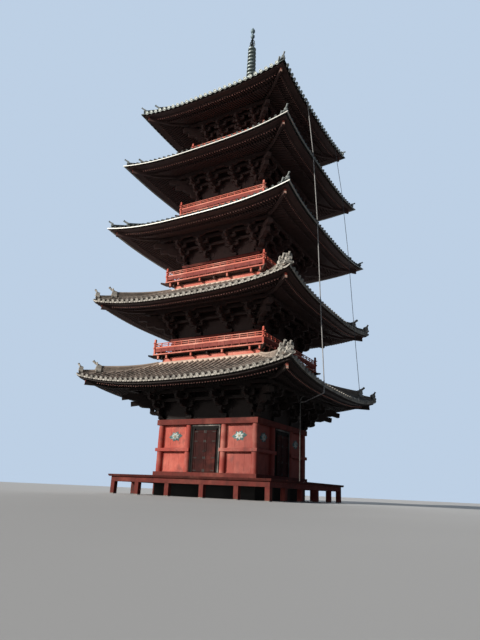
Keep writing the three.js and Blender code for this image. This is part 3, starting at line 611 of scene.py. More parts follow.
def cover_roll(roof, x):
    """A row of round cover tiles or lengths of copper roll, each with a lip over the next one down."""
    radius = ROLL_RADIUS[roof.tiled]
    arc = [math.pi * k / 6 for k in range(7)]
    start, end = ROLL_START, min(roof.span, roof.hip(x))
    count = max(1, round((end - start) / (COURSE if roof.tiled else COPPER_COURSE)))
    lip = 0.008 if roof.tiled else 0.002
    rings = []
    for number in range(count):
        for share, swell in ((number / count, lip), ((number + 1) / count, 0)):
            centre = roof.over(x, start + (end - start) * share, ROLL_BASE)
            ring = [centre + ((radius + swell) * math.cos(a), 0, (radius + swell) * math.sin(a)) for a in arc]
            rings.append(ring + [centre + (-radius, 0, -0.04), centre + (radius, 0, -0.04)])
    return loft(rings)


def pan_row(roof, x0, x1):
    """Hollow tiles between two rolls, in overlapping courses up to the hip or the collar."""
    shares = (0, 0.25, 0.5, 0.75, 1)
    across = [x0 + (x1 - x0) * share for share in shares]
    ends = [min(roof.span, roof.hip(x)) for x in across]
    tops = [PAN_EDGE - PAN_SAG * math.sin(math.pi * share) for share in shares]
    courses = [PAN_START]
    while courses[-1] + COURSE < min(ends) - 0.05:
        courses.append(courses[-1] + COURSE)
    rows = [[d] * len(shares) for d in courses] + [ends]
    rings = []
    for near, far in zip(rows, rows[1:]):
        for ds, step in ((near, STEP), (far, 0)):
            ring = [roof.over(x, d, top + step) for x, d, top in zip(across, ds, tops)]
            rings.append(ring + [roof.over(x1, ds[-1], BED - 0.03), roof.over(x0, ds[0], BED - 0.03)])
    return loft(rings)


def eave_lip(roof, x0, x1):
    """The crescent that hangs from the lowest hollow tile, behind the round ends of the rolls."""
    rings = []
    for share in np.linspace(0.0, 1.0, 7):
        x = x0 + (x1 - x0) * share
        bow = math.sin(math.pi * share)
        top = PAN_EDGE - 0.008 - (PAN_SAG + 0.015) * bow
        bottom = top - 0.050 - 0.015 * bow
        rings.append([roof.over(x, LIP_BACK, top), roof.over(x, LIP_BACK + 0.04, top),
                      roof.over(x, LIP_BACK + 0.04, bottom), roof.over(x, LIP_BACK, bottom)])
    return loft(rings)


def disc_frame(roof, x):
    """Middle of a roll's round end and the way that it faces."""
    slope = EDGE_SLOPE * roof.rise / roof.span
    return roof.over(x, 0.0, ROLL_BASE), (0, -1, -slope)


def tile_disc(roof, x):
    """Field and boss of a roll's round end."""
    radius = roof.disc
    centre, facing = disc_frame(roof, x)
    profile = [(-0.05, radius * 0.86), (-0.016, radius * 0.86), (-0.016, radius * 0.42),
               (-0.004, radius * 0.34), (0.0, 0.006)]
    return lathe(profile, centre, facing, 14)


def tile_rim(roof, x):
    """Raised rim of a roll's round end."""
    radius = roof.disc
    centre, facing = disc_frame(roof, x)
    axis = np.array(facing) / np.linalg.norm(facing)
    side = np.array((1.0, 0.0, 0.0))
    rise = np.cross(side, axis)
    section = [(-0.045, 1.0), (-0.006, 1.0), (0.0, 0.94), (0.0, 0.80), (-0.020, 0.76), (-0.045, 0.76)]
    rings = []
    for u, v in circle(radius, 16):
        rings.append([centre + along * axis + share * (u * side + v * rise) for along, share in section])
    return loft(rings, looped=True)


def tile_bed(roof):
    """The boards and clay under the tiles, up to the curb round the storey above."""
    rows = [BED_START] + [roof.span * share for share in (0.15, 0.3, 0.45, 0.6, 0.75, 0.88, 1)]
    loops = [roof.sheet_line(d, BED, roof.sag(d)) for d in rows]
    loops += [lambda t: (roof.curb, roof.collar_z), lambda t: (roof.curb, roof.collar_z - SHEET - 0.04)]
    loops += [roof.sheet_line(d) for d in (*reversed(rows[1:]), BOARD_NEAR, 0.09)]
    return side_ring(loops + [roof.sheet_line(0.075, 0.03)])


def flashing(roof):
    """The apron that closes the roof against the skirt of the storey above."""
    z = roof.collar_z
    foot = roof.under(roof.span - 0.16, 0) + SHEET
    return section_ring([(roof.collar + 0.16, foot - 0.03), (roof.collar + 0.15, foot + 0.055),
                         (roof.collar - 0.01, z + 0.05), (roof.curb + 0.001, z + 0.07),
                         (roof.curb + 0.001, z - 0.12)])


def eave_edge(roof):
    """The folded lip along a copper eave."""
    near = 0.03 if roof.top else 0.0
    section = [(near, 0.0), (near, 0.045), (0.07, 0.06), (0.07, 0.004)]
    return side_ring([roof.sheet_line(d, h) for d, h in section], 32)


# Hip ridges and their end tiles

def ridge_section(width, height, layers):
    """Stacked flat tiles with small ledges under a round cap."""
    half = width / 2
    cap_half = half * 0.62
    cap = min(cap_half, height * 0.45)
    right = [(half * 1.1, -0.06)]
    for layer in range(layers):
        z0 = (height - cap) * layer / layers
        z1 = (height - cap) * (layer + 1) / layers
        ledge = (z1 - z0) * 0.2
        right += [(half, z0 + ledge), (half, z1 - ledge), (half * 0.9, z1)]
    right += [(cap_half * math.cos(a), height - cap + cap * math.sin(a))
              for a in np.linspace(0, math.pi / 2, 5)]
    return right + [(-w, h) for w, h in reversed(right[:-1])]


def ridge_run(roof, near, far, width, heights):
    """heights gives (distance in, height) pairs, nearest the corner first."""
    rings = []
    at, tall = zip(*heights)
    for d in np.linspace(near, far, 16):
        half, z = roof.out(d, 1), roof.under(d, 1) + SHEET
        section = ridge_section(width, float(np.interp(d, at, tall)), RIDGE_LAYERS[roof.tiled])
        rings.append([diagonal(half, w, z + h) for w, h in section])
    return loft(rings)


# One half of a ridge's end plate, as (across, height)
OGRE_HALF = [(0.0, -0.05), (0.15, -0.05), (0.24, -0.02), (0.26, 0.05), (0.22, 0.10), (0.18, 0.09),
             (0.165, 0.15), (0.16, 0.24), (0.185, 0.30), (0.17, 0.35), (0.11, 0.385), (0.0, 0.40)]


def ogre_tile(shape, roof, d, size):
    """End plate of a ridge with a boss and a round tile raised over it, and on tiled roofs foot scrolls and
    two curled horns.
    """
    half, z = roof.out(d, 1), roof.under(d, 1) + SHEET
    outline = OGRE_HALF + [(-w, h) for w, h in reversed(OGRE_HALF[1:-1])]

    def place(w, h, ahead):
        return diagonal(half + ahead * size * math.sqrt(0.5), w * size, z + h * size)

    shape.add(extrude(outline, -0.20, 0.04, place), ALL)
    inner = [(w * 0.66, 0.05 + h * 0.66) for w, h in outline]
    shape.add(extrude(inner, 0.0, 0.065, place), ALL)
    ahead = np.array(diagonal(1, 0, 0)) / math.sqrt(2)
    shape.add(lathe([(-0.02, 0.075 * size), (0.045 * size, 0.06 * size), (0.075 * size, 0.01)],
                    place(0, 0.18, 0.04), ahead, 12), ALL)
    for sign in (-1, 1) if roof.tiled else ():
        horn = [place(sign * w, h, a) for w, h, a in
                ((0.10, 0.28, -0.02), (0.145, 0.36, 0.0), (0.155, 0.44, 0.02), (0.13, 0.505, 0.04),
                 (0.085, 0.50, 0.05), (0.07, 0.445, 0.05), (0.10, 0.41, 0.05))]
        shape.add(sweep(horn, circle(0.034 * size, 8), ahead, (1.3, 1.2, 1.0, 0.9, 0.8, 0.65, 0.4)), ALL)
        curl = [place(sign * (0.20 + 0.06 * math.cos(a)), 0.045 + 0.06 * math.sin(a), 0.04)
                for a in np.linspace(-2.2, 2.4, 8)]
        shape.add(sweep(curl, circle(0.026 * size, 6), ahead), ALL)
        brow = [place(sign * w, h, 0.06) for w, h in ((0.02, 0.28), (0.07, 0.31), (0.12, 0.27), (0.15, 0.20))]
        shape.add(sweep(brow, circle(0.018 * size, 6), ahead), ALL)
    far = 1.5 if not roof.tiled else 1.0 if d > 0.5 else 0.55
    girth = 0.058 if roof.tiled else 0.088
    tube = [place(0, h, a) for h, a in ((0.35, -0.16), (0.41, 0.0), (0.49, 0.13 * far), (0.59, 0.24 * far))]
    shape.add(sweep(tube, circle(girth * size, 12)), ALL)
    tip = np.array(tube[-1]) - np.array(tube[-2])
    rim, lip, field = girth * 1.15 * size, girth * 0.86 * size, girth * 0.77 * size
    profile = [(-0.03 * size, rim), (0.004, rim), (0.004, lip), (-0.01 * size, field), (-0.01 * size, 0.01)]
    shape.add(lathe(profile, tube[-1], tip, 14), ALL)


MAIN_END = 0.68
LOW_END = 0.14
LOW_ROOT = 0.84


def hip_ridges(roof):
    """Main ridge down each hip and a lower one from its end to the corner."""
    ridges, ends = shapes(2)
    width = 0.26 if roof.tiled else 0.20
    inner = roof.span - 0.02
    tall = roof.ridge
    main = [(MAIN_END, tall * 1.12), (0.90, tall), (roof.span * 0.45, tall * 0.9), (inner, 0.09)]
    low = [(0.11, tall * 0.62), (0.27, tall * 0.48), (LOW_ROOT, tall * 0.48)]
    ridges.add(ridge_run(roof, MAIN_END + 0.02, inner, width, main), ALL)
    ridges.add(ridge_run(roof, LOW_END + 0.01, LOW_ROOT, width * 0.86, low), ALL)
    size = 0.95 if roof.tiled else 0.56
    ogre_tile(ends, roof, MAIN_END, size)
    ogre_tile(ends, roof, LOW_END, size * 0.80)
    return ridges, ends


def build_roof(roof):
    """The cover of one roof, tiled on the two lowest and copper above, with its ridges."""
    tiles, pans, fields, rims = shapes(4)
    pans.add(tile_bed(roof))
    lines = roll_lines(roof)
    for x in lines:
        tiles.add(cover_roll(roof, x), ALL)
        fields.add(tile_disc(roof, x), ALL)
        rims.add(tile_rim(roof, x), ALL)
    if roof.tiled:
        slot = "roof_tile"
        cover = (TILE_1, TILE_2)[roof.number - 1]
        bed, field, rim, ridge_end, apron = SHADED_PAN_TILE, TILE_END, TILE_END, TILE_END, FLASHING
        edge = roof.out(ROLL_START, 1) - 0.02
        for x0, x1 in zip([-edge] + lines, lines + [edge]):
            pans.add(pan_row(roof, x0, x1), ALL)
            fields.add(eave_lip(roof, x0, x1), ALL)
    else:
        slot = "copper_roof"
        cover = bed = apron = COPPER
        ridge_end = DULL_COPPER
        field, rim, lip = COPPER, COPPER_RIM, COPPER_EDGE
        if roof.top:
            field, rim, lip = PALE_COPPER, PALE_COPPER, COPPER
        make_at(roof, "eave_edge", whole(eave_edge(roof)), lip, slot)
    make_at(roof, "tiles", tiles, cover, slot, "roof", smooth=35)
    make_at(roof, "tile_pans", pans, bed, slot, smooth=35)
    make_at(roof, "tile_ends", fields, field, slot, smooth=40)
    make_at(roof, "tile_rims", rims, rim, slot, smooth=40)
    ridges, ridge_ends = hip_ridges(roof)
    make_at(roof, "hip_ridges", ridges, cover, slot, smooth=30)
    make_at(roof, "ridge_ends", ridge_ends, ridge_end, slot, smooth=40)
    if not roof.top:
        make_at(roof, "flashing", whole(flashing(roof)), apron, slot, bevel=0.008)


# Eaves: boards over two tiers of parallel rafters

def deck_top(roof, half):
    """Height of the deck's upper face at a distance from the tower's middle."""
    inner = roof.eave - roof.deck_inner
    low = roof.eave_z + 0.03
    high = roof.rafter(inner) + 0.22
    return low + (high - low) * (roof.eave - half - BOARD_FAR) / (inner - BOARD_FAR)


def soffit(roof):
    """The deck over the rafters, with the boards under the tiles."""
    inner = roof.eave - roof.deck_inner
    flat = min(roof.span, inner - 0.10)
    base_end, flying_end = FLYING_ROOT + 0.06, FLYING_TIP + 0.1
    at = roof.eave_line
    return side_ring([
        roof.sheet_line(BOARD_NEAR, drop=0.001), roof.sheet_line(BOARD_FAR, drop=0.001),
        at(BOARD_FAR, roof.eave_z + 0.06), at(flat, deck_top(roof, roof.eave - flat)),
        at(inner, deck_top(roof, roof.deck_inner)), at(inner, roof.rafter(inner) + RAFTER_HEIGHT),
        at(roof.purlin, roof.rafter(roof.purlin) + RAFTER_HEIGHT),
        at(base_end, roof.rafter(base_end) + RAFTER_HEIGHT),
        at(base_end, roof.rafter(FLYING_ROOT - 0.001) + FLYING_HEIGHT),
        at(flying_end, roof.rafter(flying_end) + FLYING_HEIGHT), at(BOARD_NEAR, roof.eave_z - 0.03),
    ])


def rafter_bar(roof, x, near, far, half, height):
    """A rafter from near to far, or to the hip, bent as the eave is."""
    far = min(far, roof.hip(abs(x) + half + 0.09))
    if far - near < 0.08:
        return None
    section = ((-half, 0), (half, 0), (half, height), (-half, height))
    bottoms = [roof.below(x, d, roof.rafter(d)) for d in np.linspace(near, far, 5)]
    return loft([[bottom + (w, 0, h) for w, h in section] for bottom in bottoms])


def rafter_lines(roof):
    """Where rafters cross a side, one of them in its middle."""
    count = int((roof.eave - RAFTER_MARGIN) / roof.rafter_pitch)
    return [number * roof.rafter_pitch for number in range(-count, count + 1)]


def end_plate(roof, x):
    """The painted end of a flying rafter, a little higher than the rafter."""
    bottom = roof.below(x, FLYING_TIP, roof.rafter(FLYING_TIP))
    low, high = 0.004, FLYING_HEIGHT + 0.012 - 0.004
    corners = [(-FLYING_HALF, low), (FLYING_HALF, low), (FLYING_HALF, high), (-FLYING_HALF, high)]
    return loft([[bottom + (w, y, h) for w, h in corners] for y in (-0.006, 0.004)])


def hip_beam(roof, tip, root, half, below, above):
    """The rafter under a hip, from tip to root. Its top runs further in than its foot at the tip."""
    slant = 0.04
    depth_at, depths, heights = (HIP_TIP, FLYING_ROOT), (0.145, 0.13), (0.11, 0.10)
    rings = []
    for share in np.linspace(0, 1, 7):
        low = tip + (root - tip) * share
        high = tip + slant + (root - tip - slant) * share
        bottom = roof.rafter(low) + roof.lifted(low, 1) - float(np.interp(low, depth_at, depths)) - below
        top = roof.rafter(high) + roof.lifted(high, 1) + float(np.interp(high, depth_at, heights)) - above
        rings.append([diagonal(roof.out(low, 1), -half, bottom), diagonal(roof.out(low, 1), half, bottom),
                      diagonal(roof.out(high, 1), half, top), diagonal(roof.out(high, 1), -half, top)])
    return loft(rings)


def eave_board(roof):
    """The board over the rafter ends."""
    corners = [(0.49, -0.048), (0.49, -0.012), (0.56, -0.006), (0.56, -0.042)]
    return side_ring([roof.eave_line(d, roof.eave_z + z) for d, z in corners], 32)


def build_eaves(roof):
    """Boards, two tiers of rafters with pale painted ends that also carry a painted highlight, and the
    rafters under the hips.
    """
    rafters, tips, caps, shoes = shapes(4)
    root = roof.eave - roof.columns + 0.05
    for x in rafter_lines(roof):
        flying = rafter_bar(roof, x, FLYING_TIP, FLYING_ROOT + 0.12, FLYING_HALF, FLYING_HEIGHT - 0.002)
        if flying:
            rafters.add(flying, ALL)
            tips.add(end_plate(roof, x), ALL)
        base = rafter_bar(roof, x, FLYING_ROOT, root, RAFTER_HALF, RAFTER_HEIGHT - 0.002)
        if base:
            rafters.add(base, ALL)
    rafters.add(hip_beam(roof, HIP_TIP + 0.01, root, 0.060, 0, 0), ALL)
    caps.add(hip_beam(roof, HIP_TIP + 0.004, HIP_TIP + 0.015, 0.048, -0.004, 0.03), ALL)
    shoes.add(hip_beam(roof, HIP_TIP, HIP_TIP + 0.012, 0.046, -0.006, 0.14), ALL)
    make_at(roof, "soffit", whole(soffit(roof)), SOFFIT, "dark_timber", "eaves")
    make_at(roof, "eave_board", whole(eave_board(roof)), SOFFIT, "dark_timber")
    make_at(roof, "rafters", rafters, DARK, "dark_timber")
    make_at(roof, "rafter_tips", tips, TIP_PAINT_AND_HIGHLIGHT, "bright_red_timber")
    make_at(roof, "hip_caps", caps, BRIGHT_RED, "bright_red_timber")
    make_at(roof, "hip_shoes", shoes, FLASHING, "bright_red_timber")


# Bracket sets

TIER_SHARES = (0.15, 0.37, 0.59)
BEAM_HALF = 0.05
PURLIN_HALF = 0.07


def bearing_block(shape, place, centre, half, z, height):
    """A block whose lower part narrows. place(p, q, offset) gives its points."""
    rings = []
    for share, size in ((0, 0.68), (0.42, 1), (1, 1)):
        h = z + height * share
        rings.append([place(centre + p * half * size, h, w * half * size) for p, w in SQUARE])
    shape.add(loft(rings), ALL)


def arm_profile(start, end, z, height, back_round=False):
    """A bracket arm that curves up to its end."""
    curve = [(0.7, 0), (0.25, height * 0.2), (0, height * 0.5), (0, height)]
    front = [(end - height * back, z + up) for back, up in reversed(curve)]
    if not back_round:
        curve = [(0, 0), (0, height)]
    return front + [(start + height * ahead, z + up) for ahead, up in curve]


def tail_profile(tip, z_tip, root, slope, depth):
    """A tail rafter that rises from its tip towards the wall."""
    z_root = z_tip + (tip - root) * slope
    return [(tip - 0.02, z_tip), (tip, z_tip + depth), (root, z_root + depth), (root, z_root)]


def bracket_tiers(roof):
    """Foot of the bracket sets, room under the purlin's rafters, length of a step, heights of the arms."""
    base = roof.wall_top
    room = roof.rafter(roof.purlin) - base
    return base, room, roof.reach / 3, [base + room * share for share in TIER_SHARES]


def bracket_arms(shape, roof, place, width, tails, depth):
    """Arms, blocks and tail rafters that stand out from one column."""
    base, room, step, tiers = bracket_tiers(roof)
    arm, block = room * 0.125, room * 0.095
    bearing_block(shape, place, 0, 0.17, base, room * 0.15)
    for number, z in enumerate(tiers, 1):
        tip = step * number
        shape.add(extrude(arm_profile(-0.10, tip + 0.08, z, arm), -width / 2, width / 2, place), ALL)
        bearing_block(shape, place, tip, 0.085, z + arm, block)
    for tip, share in tails:
        profile = tail_profile(tip, base + room * share, -0.05, 0.28, depth)
        shape.add(extrude(profile, -width * 0.55, width * 0.55, place), ALL)
    bearing_block(shape, place, roof.reach, 0.10, base + room * 0.72, block)


def cross_arms(shape, roof, x, half):
    """Arms along the wall over one column, with three blocks on each."""
    base, room, step, tiers = bracket_tiers(roof)
    arm, block = room * 0.11, room * 0.085
    rows = [(0, tiers[0]), (0, tiers[1]), (0, tiers[2]), (step, tiers[1]), (step * 2, tiers[2]),
            (roof.reach, base + room * 0.80)]
    for out, z in rows:
        def place(p, q, offset, out=out):
            return (x + p, -(roof.columns + out) + offset, q)
        shape.add(extrude(arm_profile(-half, half, z, arm, True), -0.055, 0.055, place), ALL)
        for p in (-half + 0.08, 0, half - 0.08):
            bearing_block(shape, place, p, 0.075, z + arm, block)


def long_beams(shape, roof):
    """Beams that run the whole side over the blocks, and the purlin under the rafters."""
    base, room, step, tiers = bracket_tiers(roof)
    depth = room * 0.10
    for out, z in ((0, tiers[1] + room * 0.20), (0, tiers[2] + room * 0.20), (step, tiers[2] - room * 0.02),
                   (step * 2, tiers[2] + room * 0.20)):
        half = roof.columns + out
        shape.add(square_ring(half + BEAM_HALF, half - BEAM_HALF, z, z + depth))
    half = roof.columns + roof.reach
    top = roof.rafter(roof.purlin - PURLIN_HALF) - 0.002
    shape.add(square_ring(half + PURLIN_HALF, half - PURLIN_HALF, top - 0.13, top))
    wall_top = roof.rafter(roof.eave - roof.columns - 0.05)
    shape.add(square_ring(roof.columns + 0.045, roof.columns - 0.05, base, wall_top))


def build_brackets(roof):
    """Bracket sets over every column of a storey, and the beams that tie them."""
    shape = Shape()
    columns, reach = roof.columns, roof.reach
    inner = columns * INNER_SHARE
    tails = [(reach * 0.67 + 0.25, 0.42), (reach + 0.13, 0.60)]
    sets = ((-inner, tails, 0.40), (inner, tails, 0.40), (-columns, [], 0.34), (columns, [], 0.34))
    for x, over, half in sets:
        bracket_arms(shape, roof, lambda p, q, w, x=x: (x + w, -(columns + p), q), 0.12, over, 0.15)
        cross_arms(shape, roof, x, half)
    bracket_arms(shape, roof, lambda p, q, w: diagonal(columns + p, w, q), 0.20,
                 [(reach * 0.67 + 0.36, 0.38), (reach + 0.29, 0.57)], 0.22)
    long_beams(shape, roof)
    make_at(roof, "bracket_sets", shape, DARK, "dark_timber", "brackets")


# Upper storeys

UPPER_COLUMN = 0.14
BATTEN_PITCH = 0.085
BATTENS = range(-4, 5)


def upper_trim(roof):
    """Columns, tie beams, posts and battens on the wall of an upper storey."""
    trim = Shape()
    columns, floor, top = roof.columns, roof.floor, roof.wall_top
    inner = columns * INNER_SHARE
    low, high = floor + 0.09, top - 0.30
    for x in (-columns, -inner, inner):
        levels = [(floor, UPPER_COLUMN), (top - 0.14, UPPER_COLUMN), (top - 0.05, UPPER_COLUMN - 0.015)]
        trim.add(lathe(levels, (x, -columns, 0)), ALL)
    for z0, z1, out in ((floor, low, 0.17), (high, top - 0.20, 0.165), (top - 0.07, top, 0.20)):
        trim.add(square_ring(columns + out, columns + 0.05, z0, z1))
    for x in (-0.30, 0.0, 0.30):
        trim.add(bar(x * columns / 2, 0.025, -columns - 0.10, -columns - 0.05, low, high), ALL)
    for centre in (-(columns + inner) / 2, (columns + inner) / 2):
        for k in BATTENS:
            x = centre + k * BATTEN_PITCH * columns / 2
            trim.add(bar(x, 0.018, -columns - 0.09, -columns - 0.05, low, high), ALL)
    make_at(roof, "wall_trim", trim, SHADED_BEAM_RED, "red_timber", bevel=0.006)


BALCONY_OUT = 0.78
BALCONY_IN = 0.131
BALCONY_BOARDS = 4
SKIRT_OUT = 0.39
EDGE_BOARD = 0.05
LAST_SUPPORT = 0.52


def balcony(roof):
    """Boards, supports and skirt of a balcony."""
    columns, floor = roof.columns, roof.floor
    edge, skirt, inner = columns + BALCONY_OUT, columns + SKIRT_OUT, columns + BALCONY_IN
    boards, dark, posts, skirts = shapes(4)
    width = (edge - EDGE_BOARD - inner) / BALCONY_BOARDS
    for k in range(BALCONY_BOARDS):
        boards.add(square_ring(inner + width * (k + 1) - 0.008, inner + width * k, floor - 0.035, floor))
    boards.add(square_ring(edge, edge - EDGE_BOARD, floor - 0.075, floor - 0.012))
    # The layer under the boards is in the dark timber as painted shade.
    dark.add(square_ring(edge - 0.052, inner, floor - 0.055, floor - 0.036))
    dark.add(square_ring(edge - 0.09, edge - 0.16, floor - 0.10, floor - 0.056))
    # The skirt's upper band, in the floor's shadow, is in the dark timber as painted shade.
    dark.add(square_ring(skirt - 0.02, skirt - 0.11, floor - 0.23, floor - 0.058))
    support = arm_profile(skirt - 0.04, edge - 0.14, floor - 0.24, 0.12)
    places = (columns * INNER_SHARE, columns, columns + LAST_SUPPORT)
    for x in (*(-x for x in reversed(places)), 0, *places):
        dark.add(extrude(support, x - 0.045, x + 0.045, lambda p, q, w: (w, -p, q)), ALL)
        if x:
            posts.add(bar(x, 0.040, -edge + 0.085, -edge + 0.165, floor - 0.25, floor - 0.10), ALL)
            posts.add(bar(x, 0.055, -edge + 0.07, -edge + 0.17, floor - 0.115, floor - 0.076), ALL)
    horn = [(skirt - 0.02, floor - 0.245), (edge - 0.06, floor - 0.245), (edge + 0.16, floor - 0.15),
            (edge + 0.165, floor - 0.095), (skirt - 0.02, floor - 0.077)]
    dark.add(extrude(horn, -0.055, 0.055, lambda p, q, w: diagonal(p, w, q)), ALL)
    skirts.add(square_ring(skirt - 0.006, skirt - 0.10, floor - COLLAR_DROP - SHEET, floor - 0.235))
    skirts.add(square_ring(skirt + 0.03, skirt - 0.04, floor - 0.44, floor - 0.17))
    make_at(roof, "balcony_boards", boards, SALMON, "bright_red_timber", "balcony", bevel=0.006)
    make_at(roof, "balcony_under", dark, DARK, "dark_timber", bevel=0.005)
    make_at(roof, "balcony_posts", posts, SALMON, "bright_red_timber", bevel=0.006)
    make_at(roof, "balcony_skirt", skirts, SALMON, "bright_red_timber", bevel=0.006)


# Railings. Heights are over the floor. A lower rail is short of the top one by so much at each end
RAILING_OUT = 0.72
RAILING_PAST = 0.12
RAILING_POST = 0.046
POST_HEIGHT = 0.745
TOP_RAIL_RADIUS = 0.024
LOWER_RAILS = (dict(short=0.03, half=0.020, foot=0.42, top=0.445),
               dict(short=0.02, half=0.032, foot=0.265, top=0.345))
RAILING_BOARD = (0.085, 0.266)
STRUT_PITCH = 0.42
STRUT_HALF = 0.022
STRUT_HEIGHT = 0.27
STRUT_LEVELS = [(0.020, 0.34), (0.020, 0.475), (0.034, 0.495), (0.034, 0.515)]


def railing(roof):
    """Corner posts, three rails and the boards between struts."""
    floor = roof.floor
    line = roof.columns + RAILING_OUT
    past = line + RAILING_PAST
    bars, rails, boards = shapes(3)
    bars.add(post(line, -line, [(RAILING_POST, floor), (RAILING_POST, floor + POST_HEIGHT),
                                (RAILING_POST * 0.55, floor + POST_HEIGHT + 0.02)]), ALL)
    top = [(-past, -line, floor + 0.555), (-past + 0.10, -line, floor + 0.525)]
    top += [(-x, y, z) for x, y, z in reversed(top)]
    rails.add(sweep(top, circle(TOP_RAIL_RADIUS, 10)), ALL)
    for rail in LOWER_RAILS:
        end, half = past - rail["short"], rail["half"]
        rails.add(box(-end, end, -line - half, -line + half, floor + rail["foot"], floor + rail["top"]), ALL)
    low, high = RAILING_BOARD
    boards.add(box(-line, line, -line - 0.014, -line + 0.014, floor + low, floor + high), ALL)
    count = round(line * 2 / STRUT_PITCH)
    for k in range(1, count):
        x = -line + line * 2 * k / count
        boards.add(bar(x, STRUT_HALF, -line - STRUT_HALF, -line + STRUT_HALF, floor + 0.001,
                       floor + STRUT_HEIGHT), ALL)
        bars.add(post(x, -line, [(half, floor + h) for half, h in STRUT_LEVELS]), ALL)
    make_at(roof, "railing_bars", bars, BRIGHT_RED, "bright_red_timber", "railing", bevel=0.004)
    make_at(roof, "railing_rails", rails, RAIL_HIGHLIGHT_RED, "bright_red_timber", bevel=0.004)
    make_at(roof, "railing_boards", boards, BOARD_RED, "bright_red_timber", bevel=0.003)


# Ground storey

GROUND = STOREYS[0]["columns"]
INNER = 0.97
COLUMN = 0.155
SILL_TOP = 1.07
HEAD_BOTTOM = 3.23
PANEL_OUT = -0.03
PANEL_IN = -0.12
PANEL_BOARDS = 3
PANEL_GAP = 0.0015
MOULDING = 0.05
MID_RAIL = (2.00, 2.15)
RAIL_OUT = 0.19
MEDALLION_X = 1.76
MEDALLION_Z = 2.70
MEDALLION_RADIUS = 0.38
MEDALLION_WIDE = 1.05
MEDALLION_TALL = 0.82
LEAF_SIZES = ((1.0, 0.24), (0.82, 0.20), (0.80, 0.18), (1.0, 0.24), (0.80, 0.18), (0.82, 0.20))


def column(x):
    """A round column of the front, slimmer towards its head."""
    return lathe([(SILL_TOP, COLUMN), (2.4, COLUMN), (3.0, COLUMN * 0.985), (HEAD_BOTTOM, COLUMN * 0.93)],
                 (x, -GROUND, 0), count=32)


def wall_unit(frame_work, panels, sign, corner, turn):
    """Boards, rails and columns on one side of a doorway. sign -1 is the -X side of the front."""
    side = (turn,)

    def span(shape, x0, x1, out, back, z0, z1):
        shape.add(box(*mirrored(sign, x0, x1), -GROUND - out, -GROUND - back, z0, z1), side)

    x0, x1 = INNER, GROUND if corner else GROUND - COLUMN - 0.002
    width = (x1 - x0) / PANEL_BOARDS
    for k in range(PANEL_BOARDS):
        span(panels, x0 + width * k + PANEL_GAP, x0 + width * (k + 1) - PANEL_GAP, PANEL_OUT, PANEL_IN + 0.01,
             SILL_TOP, HEAD_BOTTOM)
    span(panels, x0, x1, PANEL_OUT - 0.008, PANEL_IN, SILL_TOP, HEAD_BOTTOM)
    rail_end = GROUND + RAIL_OUT if corner else x1
    span(frame_work, INNER - COLUMN + 0.004, rail_end, RAIL_OUT, PANEL_IN, *MID_RAIL)
    low, high = INNER + COLUMN - 0.01, GROUND - COLUMN + (0.01 if corner else -0.003)
    for z0, z1 in ((SILL_TOP, SILL_TOP + MOULDING), (MID_RAIL[0] - 0.04, MID_RAIL[0]),
                   (MID_RAIL[1], MID_RAIL[1] + 0.04), (HEAD_BOTTOM - MOULDING, HEAD_BOTTOM)):
        span(frame_work, low, high, PANEL_OUT + 0.022, PANEL_OUT - 0.01, z0, z1)
    for x in (low, high - MOULDING):
        span(frame_work, x, x + MOULDING, PANEL_OUT + 0.020, PANEL_OUT - 0.01, SILL_TOP, HEAD_BOTTOM)
    frame_work.add(column(sign * INNER), side)
    if corner:
        frame_work.add(column(sign * GROUND), side)
        span(frame_work, GROUND + 0.02, GROUND + RAIL_OUT - 0.004, RAIL_OUT - 0.004, -0.155,
             MID_RAIL[0] + 0.004, MID_RAIL[1] - 0.004)


def petal(length, width, thickness, place, tilt):
    """A pointed petal that grows from the middle at an angle."""
    rings = []
    for s in np.linspace(0.04, 0.98, 9):
        half = width / 2 * math.sin(math.pi * s ** 0.8) ** 0.8
        bulge = thickness * (0.35 + 0.65 * math.sin(math.pi * s))
        ring = []
        for a in np.linspace(0, math.tau, 8, endpoint=False):
            along, across = length * s, half * math.cos(a)
            u = along * math.cos(tilt) - across * math.sin(tilt)
            v = along * math.sin(tilt) + across * math.cos(tilt)
            ring.append(place(u, v, bulge * max(0, math.sin(a)) - 0.004 * max(0, -math.sin(a))))
        rings.append(ring)
    return loft(rings)


def medallions():
    """An open lotus among broad leaves, in relief on each upper panel."""
    leaves, pale, petals, hearts = shapes(4)
    radius = MEDALLION_RADIUS
    for sign in (-1, 1):
        def place(u, v, out, sign=sign):
            across, height = sign * MEDALLION_X + u * MEDALLION_WIDE, MEDALLION_Z + v * MEDALLION_TALL
            return (across, -GROUND - PANEL_OUT - out, height)
        for k, (share, width) in enumerate(LEAF_SIZES):
            leaves.add(petal(radius * share, width, 0.022, place, math.tau * k / 6 + 0.12), ALL)
            pale.add(petal(radius * share * 0.86, width * 0.45, 0.034, place, math.tau * (k + 0.5) / 6), ALL)
        for k in range(7):
            petals.add(petal(radius * 0.60, 0.14, 0.052, place, math.tau * k / 7 + 0.3), ALL)
        for k in range(5):
            petals.add(petal(radius * 0.34, 0.09, 0.070, place, math.tau * (k + 0.5) / 5), ALL)
        hearts.add(lathe([(0, 0.05), (0.06, 0.045), (0.078, 0.012)], place(0, 0, 0), (0, -1, 0), 16), ALL)
    make("medallion_leaves", leaves, GREEN_LEAF, "red_timber", smooth=50)
    make("medallion_buds", pale, PALE_LEAF, "red_timber", smooth=50)
    make("medallion_petals", petals, WHITE_PETAL, "red_timber", smooth=50)
    make("medallion_hearts", hearts, OCHRE, "red_timber", smooth=50)


